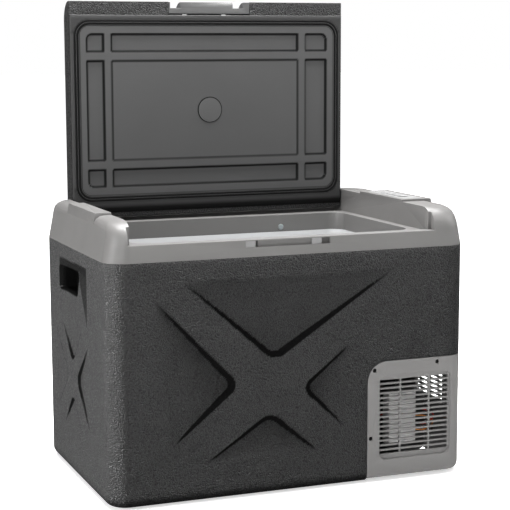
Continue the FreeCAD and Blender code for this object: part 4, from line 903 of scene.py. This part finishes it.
# A round cap of the same plastic covers the screw that holds the panel's middle.
CAP_X, CAP_Z, CAP_RIM = -17.8, 672.0, 24.1
cap_plastic = plain_plastic("centre_cap_plastic", grey(66), grain=1.1, depth=0.05, roughness=0.38, cloud=0.07)
# Painted shade round the cap's rim.
shadowed(cap_plastic, 0.95)
dish = [(3.3, 0.3), (3.3, 25.2), (0.6, 25.4), (0.1, 25.0), (-0.15, 24.2), (0.1, 23.4), (0.35, 22.6),
        (0.1, 21.8), (-0.05, 20.0), (-0.1, 8.0), (-0.1, 0.3)]
cap = turned_piece("centre_cap", cap_plastic, dish, (CAP_X, 173.0, CAP_Z), (0, 1, 0), 64, body="lid",
                   slot="panel_plastic", swap="lid_centre_cap")
# Points beyond the rim's radius carry the painted shade mark.
cap_points = np.zeros(len(cap.data.vertices) * 3, np.float32)
cap.data.vertices.foreach_get("co", cap_points)
cap_points = cap_points.reshape(-1, 3) / MM
store_painted_shade(cap, np.hypot(cap_points[:, 0] - CAP_X, cap_points[:, 2] - CAP_Z) > CAP_RIM)

# ------------------------ latch bar
# A moulded grey bar pivots on a long steel pin in the lid's front lip.
# Two torsion springs of bright wire, wound round the pin, hold it shut over the keepers.
latch_plastic = plain_plastic("latch_grey_plastic", grey(68), grain=0.7, depth=0.035, roughness=0.45)
eased("latch_bar", latch_plastic, 0.7, body="latch", segments=3)
finished("latch_pin", bright_steel)
PIN_Y, PIN_Z, COIL_ROUND, COIL_LONG, COIL_TURNS = 206.5, 862.3, 3.6, 8.2, 7
along = np.linspace(0, 1, 150)
wound = along * COIL_TURNS * 2 * math.pi
for number, start in enumerate((-62.1, 19.9)):
    coil = np.stack([start + COIL_LONG * along, PIN_Y + COIL_ROUND * np.cos(wound),
                     PIN_Z + COIL_ROUND * np.sin(wound)], -1)
    tube_piece("latch_spring_%d" % number, bright_steel, coil, 0.45, 8, body="lid", slot="steel",
               swap="latch_springs" if number == 0 else None)

# ------------------------ floor, light and camera
# A pale floor under a white sky, with broad soft lamps to the left, the right, in front and overhead.
# One low lamp grazes the left wall to bring up its pebbles, and lights the shell moulding alone.
floor_mesh = bpy.data.meshes.new("floor")
floor_mesh.from_pydata([(-40, -40, 0), (40, -40, 0), (40, 40, 0), (-40, 40, 0)], [], [(0, 1, 2, 3)])
floor = placed("floor", floor_mesh)
floor_finish, floor_shader, floor_place = new_finish("pale_floor", Specular_IOR_Level=0.1,
                                                     Emission_Strength=1.0)
far_off = floor_place.node("VectorMath", {"operation": "LENGTH"}, {0: floor_place}, out=1).held(0.7, 3.2)
feed(floor_shader, "Emission Color", far_off.blend((0.55, 0.55, 0.55, 1.0), (1.0, 1.0, 1.0, 1.0)))
feed(floor_shader, "Base Color", floor_place.noise(200.0).blend(grey(244), grey(250)))
feed(floor_shader, "Roughness", 0.8 + floor_place.noise(40.0) * 0.1)
floor_mesh.materials.append(floor_finish)
floor.visible_glossy = False

sky = bpy.data.worlds.new("white_sky")
bpy.context.scene.world = sky
sky.use_nodes = True
tree = sky.node_tree
fill, seen = tree.nodes["Background"], tree.nodes.new("ShaderNodeBackground")
for glow, strength in ((fill, 0.16), (seen, 1.0)):
    glow.inputs["Color"].default_value = (1, 1, 1, 1)
    glow.inputs["Strength"].default_value = strength
by_ray = tree.nodes.new("ShaderNodeLightPath")
either = tree.nodes.new("ShaderNodeMixShader")
tree.links.new(by_ray.outputs["Is Camera Ray"], either.inputs[0])
tree.links.new(fill.outputs[0], either.inputs[1])
tree.links.new(seen.outputs[0], either.inputs[2])
tree.links.new(either.outputs[0], tree.nodes["World Output"].inputs[0])


def lamp(name, spot, towards, size, power):
    """A rectangular soft lamp at a spot, in metres, facing another spot."""
    light = bpy.data.lights.new(name, "AREA")
    light.shape = "RECTANGLE"
    light.size, light.size_y = size
    light.energy = power
    holder = placed(name, light)
    holder.location = spot
    holder.rotation_euler = (Vector(towards) - Vector(spot)).to_track_quat("-Z", "Y").to_euler()
    holder.visible_camera = False
    return holder


lamp("left_lamp", (-3.0, -0.7, 0.9), (0, 0, 0.35), (1.0, 1.6), 48)
low_lamp = lamp("low_lamp", (-2.6, 0.6, 0.12), (-0.34, 0, 0.0), (0.8, 0.3), 110)
lamp("corner_lamp", (-2.0, -2.6, 1.15), (-0.3, -0.2, 0.3), (0.8, 1.3), 25)
lamp("right_lamp", (2.8, -0.9, 1.6), (0, 0, 0.35), (0.9, 1.4), 28)
lamp("front_lamp", (0.15, -1.0, 1.2), (0.1, -0.2, 0.3), (1.3, 0.35), 5.0)
lamp("overhead_lamp", (0.0, 0.05, 2.5), (0, 0, 0.4), (2.2, 1.1), 235)
lit_low = bpy.data.collections.new("lit_by_the_low_lamp")
lit_low.objects.link(shell)
low_lamp.light_linking.receiver_collection = lit_low

AIM = Vector((0.0089, 0.0, 0.4023))
STAND = Vector((-1.0178, -2.6234, 0.7946))
camera_data = bpy.data.cameras.new("camera")
camera_data.sensor_width = 36.0
camera_data.lens = 105.5
camera = placed("camera", camera_data)
camera.matrix_world = (Matrix.Translation(STAND) @ (AIM - STAND).to_track_quat("-Z", "Y").to_matrix().to_4x4()
                       @ Matrix.Rotation(math.radians(-0.19), 4, "Z"))
bpy.context.scene.camera = camera
bpy.context.scene.view_settings.view_transform = "Standard"
